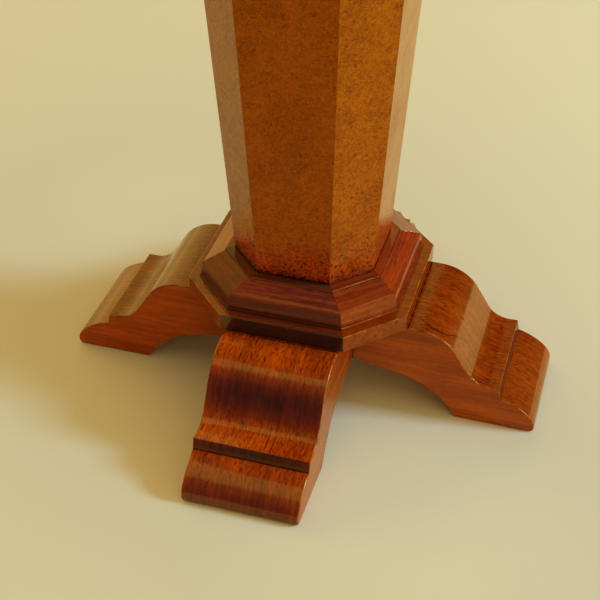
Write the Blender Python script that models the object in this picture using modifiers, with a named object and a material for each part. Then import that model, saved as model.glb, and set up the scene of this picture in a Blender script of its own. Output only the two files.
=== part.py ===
"""Occasional table: a flared, canted-square pillar veneered in burr, on a moulded plinth and four
ogee feet, carrying a canted top with a moulded edge.

Metres, +Z up. The origin is on the floor under the middle of the pillar, and -Y is the front.
Every plan is a canted square: four long sides joined by four short sides at 45 degrees. A plan is
given by its half (centre to a long side) and its side half (half the length of a long side).
"""

import math

import bmesh
import bpy
from mathutils import Matrix, Vector

# Fits
JOINT_GAP = 0.0003  # between faces that are glued, seated or mitred together
ARRIS = 0.0006  # softened edge of the feet, the plinth and the cap

# Feet, cut from thick plank with the grain along the foot
FOOT_HEIGHT = 0.0854  # floor to the plinth's underside
FOOT_WIDTH = 0.0950
FOOT_REACH = 0.2030  # middle of the table to the toe
SOLE_LENGTH = 0.0665  # toe to heel, on the floor
NOSE_LENGTH = 0.0300  # toe to the foot of the step
NOSE_HEIGHT = 0.0290  # floor to the foot of the step
NOSE_FALL = 0.0042  # how far the nose falls by its middle, before it rounds down
NOSE_BROW = 0.0115  # height over the toe at which the round of the nose aims
STEP_DRAFT = 0.0020  # the step's lean
HOLLOW_HEIGHT = 0.0388  # floor to the bottom of the ogee's hollow
HOLLOW_LIP = 0.0075  # flat between the hollow and the step
OGEE_ANGLE = math.radians(58.0)
ROLL_RADIUS = 0.0380
HOLLOW_RADIUS = 0.0215
TOE_RADIUS = 0.0045
ARCH_RADIUS = 0.0776
ARCH_HEEL_ANGLE = math.radians(59.5)  # slope of the arch at the heel
ARCH_CROWN_ANGLE = math.radians(7.7)  # slope where the arch runs straight to the hub
TENON_LENGTH = 0.0200
TENON_WIDTH = 0.0440
TENON_THICK = 0.0160

# Pillar: eight tapered staves, each faced with a leaf of burr
COLUMN_FOOT_HALF = 0.0569
COLUMN_FOOT_SIDE_HALF = 0.0292
COLUMN_HEAD_HALF = 0.0897
COLUMN_HEAD_SIDE_HALF = 0.0460
LEAF_THICK = 0.0010
STAVE_THICK = 0.0140
FOOT_BLOCK_HEIGHT = 0.0500
HEAD_BLOCK_HEIGHT = 0.0350
SPIGOT_RADIUS = 0.0200  # round tenon of the foot block, through the plinth and the hub
WEDGE_LENGTH = 0.0280
WEDGE_THICK = 0.0034
WEDGE_TIP_THICK = 0.0012

# Base moulding, eight mitred strips between the plinth's ledge and the pillar
MOULDING_WIDTH = 0.0254
MOULDING_HEIGHT = 0.0222
BASE_FILLET_HEIGHT = 0.0018
BASE_FILLET_STEP = 0.0010
FACE_HEIGHT = 0.0090  # where the upright face turns into the roll
FACE_LEAN = 0.0010
SHOULDER_RADIUS = 0.0060
SEAT_FILLET_HEIGHT = 0.0018
SEAT_WIDTH = 0.0068  # flat strip against the pillar

# Plinth board
LEDGE_WIDTH = 0.0082  # plinth edge left bare outside the moulding
PLINTH_SIDE_HALF = 0.0508
PLINTH_THICK = 0.0147

# Top
TABLE_HEIGHT = 0.6500
TOP_HALF = 0.2800
TOP_SIDE_HALF = 0.1540
TOP_THICK = 0.0240
LIPPING_WIDTH = 0.0140
LIPPING_ROUND = 0.0055
LIPPING_QUIRK = 0.0020
LIPPING_COVE_RADIUS = 0.0060
LIPPING_COVE_FOOT = 0.0030  # upright below the cove
TONGUE_LENGTH = 0.0060
TONGUE_THICK = 0.0060
CROSSBAND_WIDTH = 0.0320

# Cap board under the top
CAP_OVERHANG = 0.0353  # from the pillar's head
CAP_THICK = 0.0180
CAP_COVE_RADIUS = 0.0110
CAP_FILLET_STEP = 0.0015

# Countersunk wood screws
SCREW_HEAD_RADIUS = 0.0042
SCREW_HEAD_HEIGHT = 0.0026
SCREW_SHANK_RADIUS = 0.0022
SCREW_POINT_LENGTH = 0.0060
SLOT_WIDTH = 0.0011
SLOT_DEPTH = 0.0010
FOOT_SCREW_LENGTH = 0.0450
FOOT_SCREW_REACH = 0.0720  # middle of the table to the screw
HEAD_SCREW_LENGTH = 0.0450
HEAD_SCREW_REACH = 0.0450
TOP_SCREW_LENGTH = 0.0300
TOP_SCREW_OUTSET = 0.0143  # from the pillar's head

# Levels that follow from the sizes above
PLINTH_BOTTOM = FOOT_HEIGHT + JOINT_GAP
PLINTH_TOP = PLINTH_BOTTOM + PLINTH_THICK
COLUMN_BOTTOM = PLINTH_TOP + JOINT_GAP
MOULDING_TOP = COLUMN_BOTTOM + MOULDING_HEIGHT
TOP_BOTTOM = TABLE_HEIGHT - TOP_THICK
CAP_TOP = TOP_BOTTOM - JOINT_GAP
CAP_BOTTOM = CAP_TOP - CAP_THICK
COLUMN_TOP = CAP_BOTTOM - JOINT_GAP
CORE_TOP = TABLE_HEIGHT - LEAF_THICK - JOINT_GAP
HUB_HALF = FOOT_WIDTH / 2
MITRE = math.tan(math.radians(22.5))  # side half lost for each unit of inset

# Smoothness of the curves
ARC_STEP = math.radians(7.0)
NOSE_STEPS = 8
TURNED_STEPS = 12
BORE_STEPS = 32
WELD = 0.000001
SMOOTH_ANGLE = math.radians(30.0)
SOFTEN_ANGLE = math.radians(40.0)

SIDES = ("front", "front_right", "right", "back_right", "back", "back_left", "left", "front_left")
QUARTERS = ("right", "back", "left", "front")
QUARTER_TURN = math.pi / 2

for leftover in list(bpy.data.objects):
    bpy.data.objects.remove(leftover)

parts = bpy.data.collections.new("occasional_table")
cutters = bpy.data.collections.new("cutters")
bpy.context.scene.collection.children.link(parts)
bpy.context.scene.collection.children.link(cutters)

table = bpy.data.objects.new("table", None)
parts.objects.link(table)


# Materials
def finish(name, colour, roughness, metallic):
    material = bpy.data.materials.new(name)
    material.use_nodes = True
    shader = material.node_tree.nodes["Principled BSDF"]
    shader.inputs["Base Color"].default_value = (*colour, 1.0)
    shader.inputs["Roughness"].default_value = roughness
    shader.inputs["Metallic"].default_value = metallic
    return material


POLISHED = finish("polished_mahogany", (0.250, 0.060, 0.012), 0.25, 0.0)
BURR = finish("burr_veneer", (0.330, 0.110, 0.018), 0.22, 0.0)
GROUND = finish("ground_timber", (0.480, 0.290, 0.140), 0.65, 0.0)
STEEL = finish("screw_steel", (0.420, 0.400, 0.370), 0.40, 1.0)


# Building blocks
def add_mesh(name, bm, material):
    """A mesh object made from bm, held by the table's empty."""
    bmesh.ops.recalc_face_normals(bm, faces=bm.faces)
    mesh = bpy.data.meshes.new(name)
    bm.to_mesh(mesh)
    bm.free()
    mesh.materials.append(material)
    obj = bpy.data.objects.new(name, mesh)
    obj.parent = table
    parts.objects.link(obj)
    return obj


def make_cutter(obj):
    """Turns an object into a hidden shape that others are cut with or joined to."""
    parts.objects.unlink(obj)
    cutters.objects.link(obj)
    obj.hide_render = True
    obj.display_type = "WIRE"
    return obj


def combine(obj, other, operation):
    modifier = obj.modifiers.new(f"{operation.lower()} {other.name}", "BOOLEAN")
    modifier.operation = operation
    modifier.solver = "EXACT"
    modifier.object = other


def soften(obj):
    modifier = obj.modifiers.new("arris", "BEVEL")
    modifier.width = ARRIS
    modifier.segments = 1
    modifier.limit_method = "ANGLE"
    modifier.angle_limit = SOFTEN_ANGLE


def smooth(obj):
    obj.data.shade_smooth()
    obj.data.set_sharp_from_angle(angle=SMOOTH_ANGLE)


def arc(centre, radius, start, end):
    """Points on an arc about centre from one angle to another, with both ends."""
    steps = max(2, math.ceil(abs(end - start) / ARC_STEP))
    angles = [start + (end - start) * i / steps for i in range(steps + 1)]
    return [(centre[0] + radius * math.cos(a), centre[1] + radius * math.sin(a)) for a in angles]


def bezier(start, leave, arrive, end, steps):
    """Points on a cubic curve, without its first point."""
    points = []
    for i in range(1, steps + 1):
        t = i / steps
        weights = ((1 - t) ** 3, 3 * t * (1 - t) ** 2, 3 * t * t * (1 - t), t**3)
        controls = (start, leave, arrive, end)
        x = sum(weight * point[0] for weight, point in zip(weights, controls))
        y = sum(weight * point[1] for weight, point in zip(weights, controls))
        points.append((x, y))
    return points


def outline_solid(name, outline, thickness, material):
    """A flat outline in the XY plane, extruded by half its thickness each way, as a mesh."""
    curve = bpy.data.curves.new(name, "CURVE")
    curve.dimensions = "2D"
    curve.fill_mode = "BOTH"
    curve.extrude = thickness / 2
    spline = curve.splines.new("POLY")
    spline.points.add(len(outline) - 1)
    for point, (x, y) in zip(spline.points, outline):
        point.co = (x, y, 0.0, 1.0)
    spline.use_cyclic_u = True
    drawn = bpy.data.objects.new(f"{name}_outline", curve)
    parts.objects.link(drawn)
    bpy.context.view_layer.update()
    evaluated = drawn.evaluated_get(bpy.context.evaluated_depsgraph_get())
    filled = bpy.data.meshes.new_from_object(evaluated)
    bm = bmesh.new()
    bm.from_mesh(filled)
    bmesh.ops.remove_doubles(bm, verts=bm.verts, dist=WELD)
    bpy.data.objects.remove(drawn)
    bpy.data.meshes.remove(filled)
    return add_mesh(name, bm, material)


def box(name, low, high, material):
    """A box between two corners."""
    bm = bmesh.new()
    bmesh.ops.create_cube(bm, size=1.0)
    bmesh.ops.scale(bm, vec=Vector(high) - Vector(low), verts=bm.verts)
    bmesh.ops.translate(bm, vec=(Vector(low) + Vector(high)) / 2, verts=bm.verts)
    return add_mesh(name, bm, material)


def upright_bar(name, radius, low, high, material):
    """A round bar on the Z axis."""
    bm = bmesh.new()
    height = high - low
    bmesh.ops.create_cone(
        bm, cap_ends=True, segments=BORE_STEPS, radius1=radius, radius2=radius, depth=height
    )
    bmesh.ops.translate(bm, vec=(0.0, 0.0, low + height / 2), verts=bm.verts)
    return add_mesh(name, bm, material)


def loft(name, rings, material, closed):
    """Skins a stack of rings with equal numbers of points. A closed stack joins its last to its first."""
    bm = bmesh.new()
    loops = [[bm.verts.new(point) for point in ring] for ring in rings]
    if closed:
        loops.append(loops[0])
    else:
        bm.faces.new(loops[0])
        bm.faces.new(loops[-1])
    for lower, upper in zip(loops, loops[1:]):
        for i in range(len(lower)):
            j = (i + 1) % len(lower)
            bm.faces.new((lower[i], lower[j], upper[j], upper[i]))
    return add_mesh(name, bm, material)


# Canted plans
def inset(plan, distance):
    """A canted plan moved in from another by the same distance on every side."""
    half, side_half = plan
    return half - distance, side_half - distance * MITRE


def corners(plan, z):
    """The eight corners in order, from the left end of the front side."""
    half, side_half = plan
    ring = []
    for turn in range(4):
        rotation = Matrix.Rotation(turn * QUARTER_TURN, 3, "Z")
        for x in (-side_half, side_half):
            ring.append(rotation @ Vector((x, -half, z)))
    return ring


def tower(name, levels, material, closed=False):
    """A solid with a canted plan at each (plan, z) level."""
    return loft(name, [corners(plan, z) for plan, z in levels], material, closed)


def strip(name, side, levels, material):
    """One side of a canted frame, mitred at both ends. Its section runs through (plan, z) levels."""
    left = []
    right = []
    for plan, z in levels:
        ring = corners(plan, z)
        start = ring[side]
        end = ring[(side + 1) % len(ring)]
        trim = (end - start).normalized() * JOINT_GAP / 2
        left.append(start + trim)
        right.append(end - trim)
    return loft(name, [left, right], material, False)


def column_plan(z):
    """Outside of the pillar's veneer at a height."""
    share = (z - COLUMN_BOTTOM) / (COLUMN_TOP - COLUMN_BOTTOM)
    half = COLUMN_FOOT_HALF + share * (COLUMN_HEAD_HALF - COLUMN_FOOT_HALF)
    side_half = COLUMN_FOOT_SIDE_HALF + share * (COLUMN_HEAD_SIDE_HALF - COLUMN_FOOT_SIDE_HALF)
    return half, side_half


STAVE_INSET = LEAF_THICK + JOINT_GAP
CAVITY_INSET = STAVE_INSET + STAVE_THICK + JOINT_GAP
MOULDING_BACK = inset(column_plan(MOULDING_TOP), -JOINT_GAP)
MOULDING_FRONT_HALF = MOULDING_BACK[0] + MOULDING_WIDTH
PLINTH_PLAN = (MOULDING_FRONT_HALF + LEDGE_WIDTH, PLINTH_SIDE_HALF)
MOULDING_FRONT = inset(PLINTH_PLAN, LEDGE_WIDTH)
CAP_PLAN = inset(column_plan(COLUMN_TOP), -CAP_OVERHANG)
TOP_PLAN = (TOP_HALF, TOP_SIDE_HALF)
CORE_PLAN = inset(TOP_PLAN, LIPPING_WIDTH + JOINT_GAP)


# Screws
def screw_outline(length, grow):
    """A screw's profile from the middle of its head to its point, or, grown, its hole."""
    return [
        (0.0, grow),
        (SCREW_HEAD_RADIUS + grow, grow),
        (SCREW_SHANK_RADIUS + grow, -SCREW_HEAD_HEIGHT - grow),
        (SCREW_SHANK_RADIUS + grow, SCREW_POINT_LENGTH - length - grow),
        (0.0, -length - grow),
    ]


def turned(name, outline, material):
    """A profile, listed from its top down, turned about Z."""
    bm = bmesh.new()
    verts = [bm.verts.new((radius, 0.0, z)) for radius, z in outline]
    for upper, lower in zip(verts, verts[1:]):
        bm.edges.new((upper, lower))
    obj = add_mesh(name, bm, material)
    turn = obj.modifiers.new("turn", "SCREW")
    turn.steps = TURNED_STEPS
    turn.render_steps = TURNED_STEPS
    turn.use_merge_vertices = True
    turn.merge_threshold = WELD
    return obj


def add_screw(name, length, place, upward, holed):
    """A slotted screw with its head at place, and its hole in each of the holed objects."""
    slot_reach = 2 * SCREW_HEAD_RADIUS
    made = turned(name, screw_outline(length, 0.0), STEEL)
    slot_low = (-slot_reach, -SLOT_WIDTH / 2, -SLOT_DEPTH)
    slot_high = (slot_reach, SLOT_WIDTH / 2, SLOT_DEPTH)
    slot = make_cutter(box(f"{name}_slot", slot_low, slot_high, STEEL))
    hole = make_cutter(turned(f"{name}_hole", screw_outline(length, JOINT_GAP), GROUND))
    for obj in (made, slot, hole):
        obj.location = place
        obj.rotation_euler.x = math.pi if upward else 0.0
    combine(made, slot, "DIFFERENCE")
    for obj in holed:
        combine(obj, hole, "DIFFERENCE")


# Feet
def ogee_outline():
    """The foot's top from the hub out to the toe, as (reach, height)."""
    step_foot = FOOT_REACH - NOSE_LENGTH
    arris = step_foot - STEP_DRAFT
    hollow_end = arris - HOLLOW_LIP
    radii = ROLL_RADIUS + HOLLOW_RADIUS
    curved_drop = radii * (1 - math.cos(OGEE_ANGLE))
    straight = (FOOT_HEIGHT - HOLLOW_HEIGHT - curved_drop) / math.sin(OGEE_ANGLE)
    ogee_run = radii * math.sin(OGEE_ANGLE) + straight * math.cos(OGEE_ANGLE)
    roll_centre = (hollow_end - ogee_run, FOOT_HEIGHT - ROLL_RADIUS)
    hollow_centre = (hollow_end, HOLLOW_HEIGHT + HOLLOW_RADIUS)
    points = [(HUB_HALF + JOINT_GAP, FOOT_HEIGHT)]
    points += arc(roll_centre, ROLL_RADIUS, QUARTER_TURN, QUARTER_TURN - OGEE_ANGLE)
    points += arc(hollow_centre, HOLLOW_RADIUS, -QUARTER_TURN - OGEE_ANGLE, -QUARTER_TURN)
    points += [(arris, HOLLOW_HEIGHT), (step_foot, NOSE_HEIGHT)]
    nose_leave = (step_foot + NOSE_LENGTH / 2, NOSE_HEIGHT - NOSE_FALL)
    nose_arrive = (FOOT_REACH, TOE_RADIUS + NOSE_BROW)
    points += bezier(points[-1], nose_leave, nose_arrive, (FOOT_REACH, TOE_RADIUS), NOSE_STEPS)
    return points


def arch_outline():
    """The foot's underside from the toe back to the hub, as (reach, height)."""
    heel = FOOT_REACH - SOLE_LENGTH
    heel_turn = QUARTER_TURN - ARCH_HEEL_ANGLE
    crown_turn = QUARTER_TURN - ARCH_CROWN_ANGLE
    centre = (heel - ARCH_RADIUS * math.cos(heel_turn), -ARCH_RADIUS * math.sin(heel_turn))
    toe_centre = (FOOT_REACH - TOE_RADIUS, TOE_RADIUS)
    points = arc(toe_centre, TOE_RADIUS, 0.0, -QUARTER_TURN)[1:]
    points += arc(centre, ARCH_RADIUS, heel_turn, crown_turn)
    crown_reach, crown_height = points[-1]
    inner = HUB_HALF + JOINT_GAP
    points.append((inner, crown_height + (crown_reach - inner) * math.tan(ARCH_CROWN_ANGLE)))
    return points


HUB_BOTTOM = arch_outline()[-1][1]
TENON_MIDDLE = (HUB_BOTTOM + FOOT_HEIGHT) / 2


def tenon_box(name, grow):
    """The tenon of the foot along +X, or, grown, its mortise."""
    tip = HUB_HALF - TENON_LENGTH - grow
    root = HUB_HALF + JOINT_GAP + TENON_LENGTH / 2
    half_width = TENON_WIDTH / 2 + grow
    half_thick = TENON_THICK / 2 + grow
    low = (tip, -half_width, TENON_MIDDLE - half_thick)
    high = (root, half_width, TENON_MIDDLE + half_thick)
    return make_cutter(box(name, low, high, POLISHED))


hub = box("hub_block", (-HUB_HALF, -HUB_HALF, HUB_BOTTOM), (HUB_HALF, HUB_HALF, FOOT_HEIGHT), GROUND)
feet = {}
for turn, side in enumerate(QUARTERS):
    foot = outline_solid(f"foot_{side}", ogee_outline() + arch_outline(), FOOT_WIDTH, POLISHED)
    foot.data.transform(Matrix.Rotation(QUARTER_TURN, 4, "X"))
    smooth(foot)
    soften(foot)
    tenon = tenon_box(f"tenon_{side}", 0.0)
    mortise = tenon_box(f"mortise_{side}", JOINT_GAP)
    for obj in (foot, tenon, mortise):
        obj.rotation_euler.z = turn * QUARTER_TURN
    combine(foot, tenon, "UNION")
    combine(hub, mortise, "DIFFERENCE")
    feet[side] = foot

# Plinth board, bored for the pillar's spigot
plinth = tower("plinth_board", [(PLINTH_PLAN, PLINTH_BOTTOM), (PLINTH_PLAN, PLINTH_TOP)], POLISHED)
soften(plinth)
BORE_RADIUS = SPIGOT_RADIUS + JOINT_GAP
bore = make_cutter(upright_bar("spigot_bore", BORE_RADIUS, 0.0, TABLE_HEIGHT, GROUND))
combine(plinth, bore, "DIFFERENCE")
combine(hub, bore, "DIFFERENCE")

for turn, side in enumerate(QUARTERS):
    place = Matrix.Rotation(turn * QUARTER_TURN, 3, "Z") @ Vector((FOOT_SCREW_REACH, 0.0, 0.0))
    place.z = PLINTH_TOP - JOINT_GAP
    add_screw(f"foot_screw_{side}", FOOT_SCREW_LENGTH, place, False, (plinth, feet[side]))


# Base moulding
def moulding_outline():
    """The moulding's face from the plinth's ledge up to the pillar, as (depth, height)."""
    face_foot = (BASE_FILLET_STEP, BASE_FILLET_HEIGHT)
    roll_start = BASE_FILLET_STEP + FACE_LEAN
    centre = (roll_start + SHOULDER_RADIUS, FACE_HEIGHT)
    slope_end = (MOULDING_WIDTH - SEAT_WIDTH, MOULDING_HEIGHT - SEAT_FILLET_HEIGHT)
    across = slope_end[0] - centre[0]
    rise = slope_end[1] - centre[1]
    tangent_turn = math.atan2(rise, across) + math.acos(SHOULDER_RADIUS / math.hypot(across, rise))
    points = [(0.0, 0.0), (0.0, BASE_FILLET_HEIGHT), face_foot]
    points += arc(centre, SHOULDER_RADIUS, math.pi, tangent_turn)
    points += [slope_end, (slope_end[0], MOULDING_HEIGHT), (MOULDING_WIDTH, MOULDING_HEIGHT)]
    points.append((MOULDING_WIDTH, 0.0))
    return points


def moulding_levels():
    """The moulding's face as (plan, z): its corners run straight from the plinth to the pillar."""
    levels = []
    for depth, height in moulding_outline():
        share = depth / MOULDING_WIDTH
        side_half = MOULDING_FRONT[1] + share * (MOULDING_BACK[1] - MOULDING_FRONT[1])
        levels.append(((MOULDING_FRONT[0] - depth, side_half), COLUMN_BOTTOM + height))
    return levels


for index, side in enumerate(SIDES):
    smooth(strip(f"base_moulding_{side}", index, moulding_levels(), POLISHED))


# Pillar
def column_levels(low, high, out, back):
    """A band of the pillar's wall between two heights and two depths from its face."""
    return [
        (inset(column_plan(low), out), low),
        (inset(column_plan(high), out), high),
        (inset(column_plan(high), back), high),
        (inset(column_plan(low), back), low),
    ]


def plug_levels(low, high):
    """A block that fills the pillar's hollow between two heights."""
    return [(inset(column_plan(low), CAVITY_INSET), low), (inset(column_plan(high), CAVITY_INSET), high)]


for index, side in enumerate(SIDES):
    strip(f"column_leaf_{side}", index, column_levels(COLUMN_BOTTOM, COLUMN_TOP, 0.0, LEAF_THICK), BURR)
    stave = column_levels(COLUMN_BOTTOM, COLUMN_TOP, STAVE_INSET, STAVE_INSET + STAVE_THICK)
    strip(f"column_stave_{side}", index, stave, GROUND)

foot_block_top = COLUMN_BOTTOM + FOOT_BLOCK_HEIGHT
foot_block = tower("column_foot_block", plug_levels(COLUMN_BOTTOM, foot_block_top), GROUND)
spigot_root = COLUMN_BOTTOM + FOOT_BLOCK_HEIGHT / 2
spigot = make_cutter(upright_bar("spigot", SPIGOT_RADIUS, HUB_BOTTOM, spigot_root, GROUND))
combine(foot_block, spigot, "UNION")


def wedge_shape(name, grow, tail):
    """A wedge driven up into the spigot along X, or, grown and with a tail past it, the kerf."""
    half_base = WEDGE_THICK / 2 + grow
    half_tip = WEDGE_TIP_THICK / 2 + grow
    base = HUB_BOTTOM - tail
    tip = HUB_BOTTOM + WEDGE_LENGTH + grow
    outline = [(-half_base, base), (half_base, base), (half_tip, tip), (-half_tip, tip)]
    chord = 2 * math.sqrt(SPIGOT_RADIUS**2 - (WEDGE_THICK / 2) ** 2)
    wedge = outline_solid(name, outline, chord + 2 * tail, GROUND)
    wedge.data.transform(Matrix.Rotation(QUARTER_TURN, 4, "X"))
    wedge.data.transform(Matrix.Rotation(QUARTER_TURN, 4, "Z"))
    return wedge


wedge_shape("spigot_wedge", 0.0, 0.0)
combine(foot_block, make_cutter(wedge_shape("wedge_kerf", JOINT_GAP, WEDGE_THICK)), "DIFFERENCE")

head_block = tower("column_head_block", plug_levels(COLUMN_TOP - HEAD_BLOCK_HEIGHT, COLUMN_TOP), GROUND)

# Cap board, coved underneath
cap_levels = [(inset(CAP_PLAN, CAP_FILLET_STEP + CAP_COVE_RADIUS), CAP_BOTTOM)]
for across, height in arc((0.0, 0.0), CAP_COVE_RADIUS, math.pi, QUARTER_TURN)[1:]:
    cap_levels.append((inset(CAP_PLAN, CAP_FILLET_STEP - across), CAP_BOTTOM + height))
cap_levels.append((CAP_PLAN, CAP_BOTTOM + CAP_COVE_RADIUS))
cap_levels.append((CAP_PLAN, CAP_TOP))
cap = tower("cap_board", cap_levels, POLISHED)

# Top: a core board tongued into eight lippings, with a crossbanding and four quartered leaves
tongue_middle = TOP_BOTTOM + TOP_THICK / 2
tongue_low = tongue_middle - TONGUE_THICK / 2
tongue_high = tongue_middle + TONGUE_THICK / 2
groove_plan = inset(CORE_PLAN, TONGUE_LENGTH + JOINT_GAP)
core_levels = [
    (CORE_PLAN, TOP_BOTTOM),
    (CORE_PLAN, tongue_low - JOINT_GAP),
    (groove_plan, tongue_low - JOINT_GAP),
    (groove_plan, tongue_high + JOINT_GAP),
    (CORE_PLAN, tongue_high + JOINT_GAP),
    (CORE_PLAN, CORE_TOP),
]
core = tower("top_core", core_levels, GROUND)

lipping_back = inset(TOP_PLAN, LIPPING_WIDTH)
tongue_tip = inset(lipping_back, TONGUE_LENGTH)
cove_top = TOP_BOTTOM + LIPPING_COVE_FOOT + LIPPING_COVE_RADIUS
lipping_levels = [
    (lipping_back, TOP_BOTTOM),
    (lipping_back, tongue_low),
    (tongue_tip, tongue_low),
    (tongue_tip, tongue_high),
    (lipping_back, tongue_high),
    (lipping_back, TABLE_HEIGHT),
]
for across, height in arc((0.0, 0.0), LIPPING_ROUND, QUARTER_TURN, 0.0):
    lipping_levels.append((inset(TOP_PLAN, LIPPING_ROUND - across), TABLE_HEIGHT - LIPPING_ROUND + height))
lipping_levels.append((TOP_PLAN, cove_top))
for across, height in arc((0.0, 0.0), LIPPING_COVE_RADIUS, QUARTER_TURN, math.pi):
    cove_plan = inset(TOP_PLAN, LIPPING_QUIRK - across)
    lipping_levels.append((cove_plan, cove_top - LIPPING_COVE_RADIUS + height))
lipping_levels.append((inset(TOP_PLAN, LIPPING_QUIRK + LIPPING_COVE_RADIUS), TOP_BOTTOM))
for index, side in enumerate(SIDES):
    smooth(strip(f"top_lipping_{side}", index, lipping_levels, POLISHED))

band_bottom = TABLE_HEIGHT - LEAF_THICK
band_plan = inset(CORE_PLAN, CROSSBAND_WIDTH)
band_levels = [
    (CORE_PLAN, band_bottom),
    (CORE_PLAN, TABLE_HEIGHT),
    (band_plan, TABLE_HEIGHT),
    (band_plan, band_bottom),
]
tower("top_crossbanding", band_levels, POLISHED, closed=True)

field_half, field_side_half = inset(band_plan, JOINT_GAP)
seam = JOINT_GAP / 2
quarter_outline = [
    (seam, seam),
    (field_half, seam),
    (field_half, field_side_half),
    (field_side_half, field_half),
    (seam, field_half),
]
for turn, corner in enumerate(("back_right", "back_left", "front_left", "front_right")):
    leaf = outline_solid(f"top_leaf_{corner}", quarter_outline, LEAF_THICK, BURR)
    leaf.rotation_euler.z = turn * QUARTER_TURN
    leaf.location.z = TABLE_HEIGHT - LEAF_THICK / 2

for turn, side in enumerate(QUARTERS):
    outward = Matrix.Rotation(turn * QUARTER_TURN, 3, "Z") @ Vector((1.0, 0.0, 0.0))
    down_place = outward * HEAD_SCREW_REACH + Vector((0.0, 0.0, CAP_TOP - JOINT_GAP))
    up_place = outward * (COLUMN_HEAD_HALF + TOP_SCREW_OUTSET) + Vector((0.0, 0.0, CAP_BOTTOM + JOINT_GAP))
    add_screw(f"head_screw_{side}", HEAD_SCREW_LENGTH, down_place, False, (cap, head_block))
    add_screw(f"top_screw_{side}", TOP_SCREW_LENGTH, up_place, True, (cap, core))
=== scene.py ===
"""Looks of the occasional table: burr pillar, moulded plinth, ogee feet and canted top, all polished."""

import math
from collections import namedtuple

import bmesh
import bpy
from mathutils import Matrix, Vector


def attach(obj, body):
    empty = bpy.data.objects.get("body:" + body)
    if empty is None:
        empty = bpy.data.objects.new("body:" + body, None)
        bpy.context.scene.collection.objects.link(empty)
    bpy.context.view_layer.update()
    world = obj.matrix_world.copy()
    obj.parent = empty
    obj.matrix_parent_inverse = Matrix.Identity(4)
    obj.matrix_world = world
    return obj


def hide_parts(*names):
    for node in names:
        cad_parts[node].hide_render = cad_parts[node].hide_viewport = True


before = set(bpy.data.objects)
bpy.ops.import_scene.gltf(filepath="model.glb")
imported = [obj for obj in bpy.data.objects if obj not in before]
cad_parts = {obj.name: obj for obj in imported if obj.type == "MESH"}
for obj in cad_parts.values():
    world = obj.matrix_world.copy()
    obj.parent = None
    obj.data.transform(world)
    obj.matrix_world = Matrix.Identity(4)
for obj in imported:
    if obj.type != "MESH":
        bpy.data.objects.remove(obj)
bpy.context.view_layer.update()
scene = bpy.context.scene
scene.view_settings.view_transform = "Standard"

# Camera
# It stands a little to the right of the front foot and looks down on the base, so the top of the
# table is above the picture.
CAMERA_PLACE = Vector((0.2442, -0.8541, 0.7500))
CAMERA_AIM = Vector((-0.2264, 0.7556, -0.6147))
CAMERA_LENS = 78.62
CAMERA_SENSOR = 36.0

camera = bpy.data.objects.new("camera", bpy.data.cameras.new("camera"))
camera.data.sensor_width = CAMERA_SENSOR
camera.data.lens = CAMERA_LENS
camera.location = CAMERA_PLACE
camera.rotation_euler = CAMERA_AIM.to_track_quat("-Z", "Y").to_euler()
scene.collection.objects.link(camera)
scene.camera = camera

# Light
# Cool daylight from a window on the right, low enough to throw soft shadows to the left. Warm light
# from the ceiling, and from a pale wall behind on the left, fills them. The other walls are dim.
WINDOW_PLACE = Vector((3.99, 0.64, 2.30))
WINDOW_TARGET = Vector((0.0, 0.0, 0.10))
WINDOW_SIZE = 1.00
WINDOW_POWER = 112.0
WINDOW_COLOUR = (0.58, 0.98, 1.10)
Glow = namedtuple("Glow", "colour direction starts full")  # the limits are cosines from its direction
SWEEP = Glow((1.05, 0.92, 0.55), Vector((0.10, 0.99, 0.06)), 0.93, 0.985)  # the paper turned up behind
FAR_WALL = Glow((0.78, 0.60, 0.20), Vector((0.72, -0.40, 0.57)), 0.42, 0.85)
PALE_WALL = Glow((1.38, 0.98, 0.25), Vector((-0.74, 0.62, 0.26)), 0.54, 0.95)
CEILING = Glow((1.18, 0.92, 0.33), Vector((0.0, 0.0, 1.0)), 0.79, 0.86)
DIM_GLOW = (0.030, 0.023, 0.010)
PALE_SURROUND = (0.66, 0.59, 0.37)
MIX_SHARE = 0  # sockets of a Mix node that mixes colours
MIX_FIRST = 6
MIX_SECOND = 7
MIX_RESULT = 2

window = bpy.data.objects.new("window", bpy.data.lights.new("window", "AREA"))
window.data.size = WINDOW_SIZE
window.data.energy = WINDOW_POWER
window.data.color = WINDOW_COLOUR
window.location = WINDOW_PLACE
window.rotation_euler = (WINDOW_TARGET - WINDOW_PLACE).to_track_quat("-Z", "Y").to_euler()
scene.collection.objects.link(window)


def connect(tree, values, sockets):
    """Sets each socket to a value, or links it to the socket that feeds it."""
    for name, value in values.items():
        if isinstance(value, bpy.types.NodeSocket):
            tree.links.new(value, sockets[name])
        elif sockets[name].type == "RGBA":
            sockets[name].default_value = (*value, 1.0)
        else:
            sockets[name].default_value = value


def put(tree, kind, inputs=None, **settings):
    """Adds a node with its settings and inputs."""
    node = tree.nodes.new(kind)
    for name, value in settings.items():
        setattr(node, name, value)
    connect(tree, inputs or {}, node.inputs)
    return node


def ramp(tree, value, low, high):
    """0 below low, 1 above high, and smooth between them."""
    inputs = {"Value": value, "From Min": low, "From Max": high}
    return put(tree, "ShaderNodeMapRange", inputs, interpolation_type="SMOOTHSTEP").outputs["Result"]


def mix_colour(tree, share, first, second):
    inputs = {MIX_SHARE: share, MIX_FIRST: first, MIX_SECOND: second}
    return put(tree, "ShaderNodeMix", inputs, data_type="RGBA").outputs[MIX_RESULT]


def calculate(tree, operation, first, *others):
    """Numbers put together from left to right."""
    for other in others:
        first = put(tree, "ShaderNodeMath", {0: first, 1: other}, operation=operation).outputs[0]
    return first


def times(tree, *numbers):
    return calculate(tree, "MULTIPLY", *numbers)


def plus(tree, *numbers):
    return calculate(tree, "ADD", *numbers)


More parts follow.
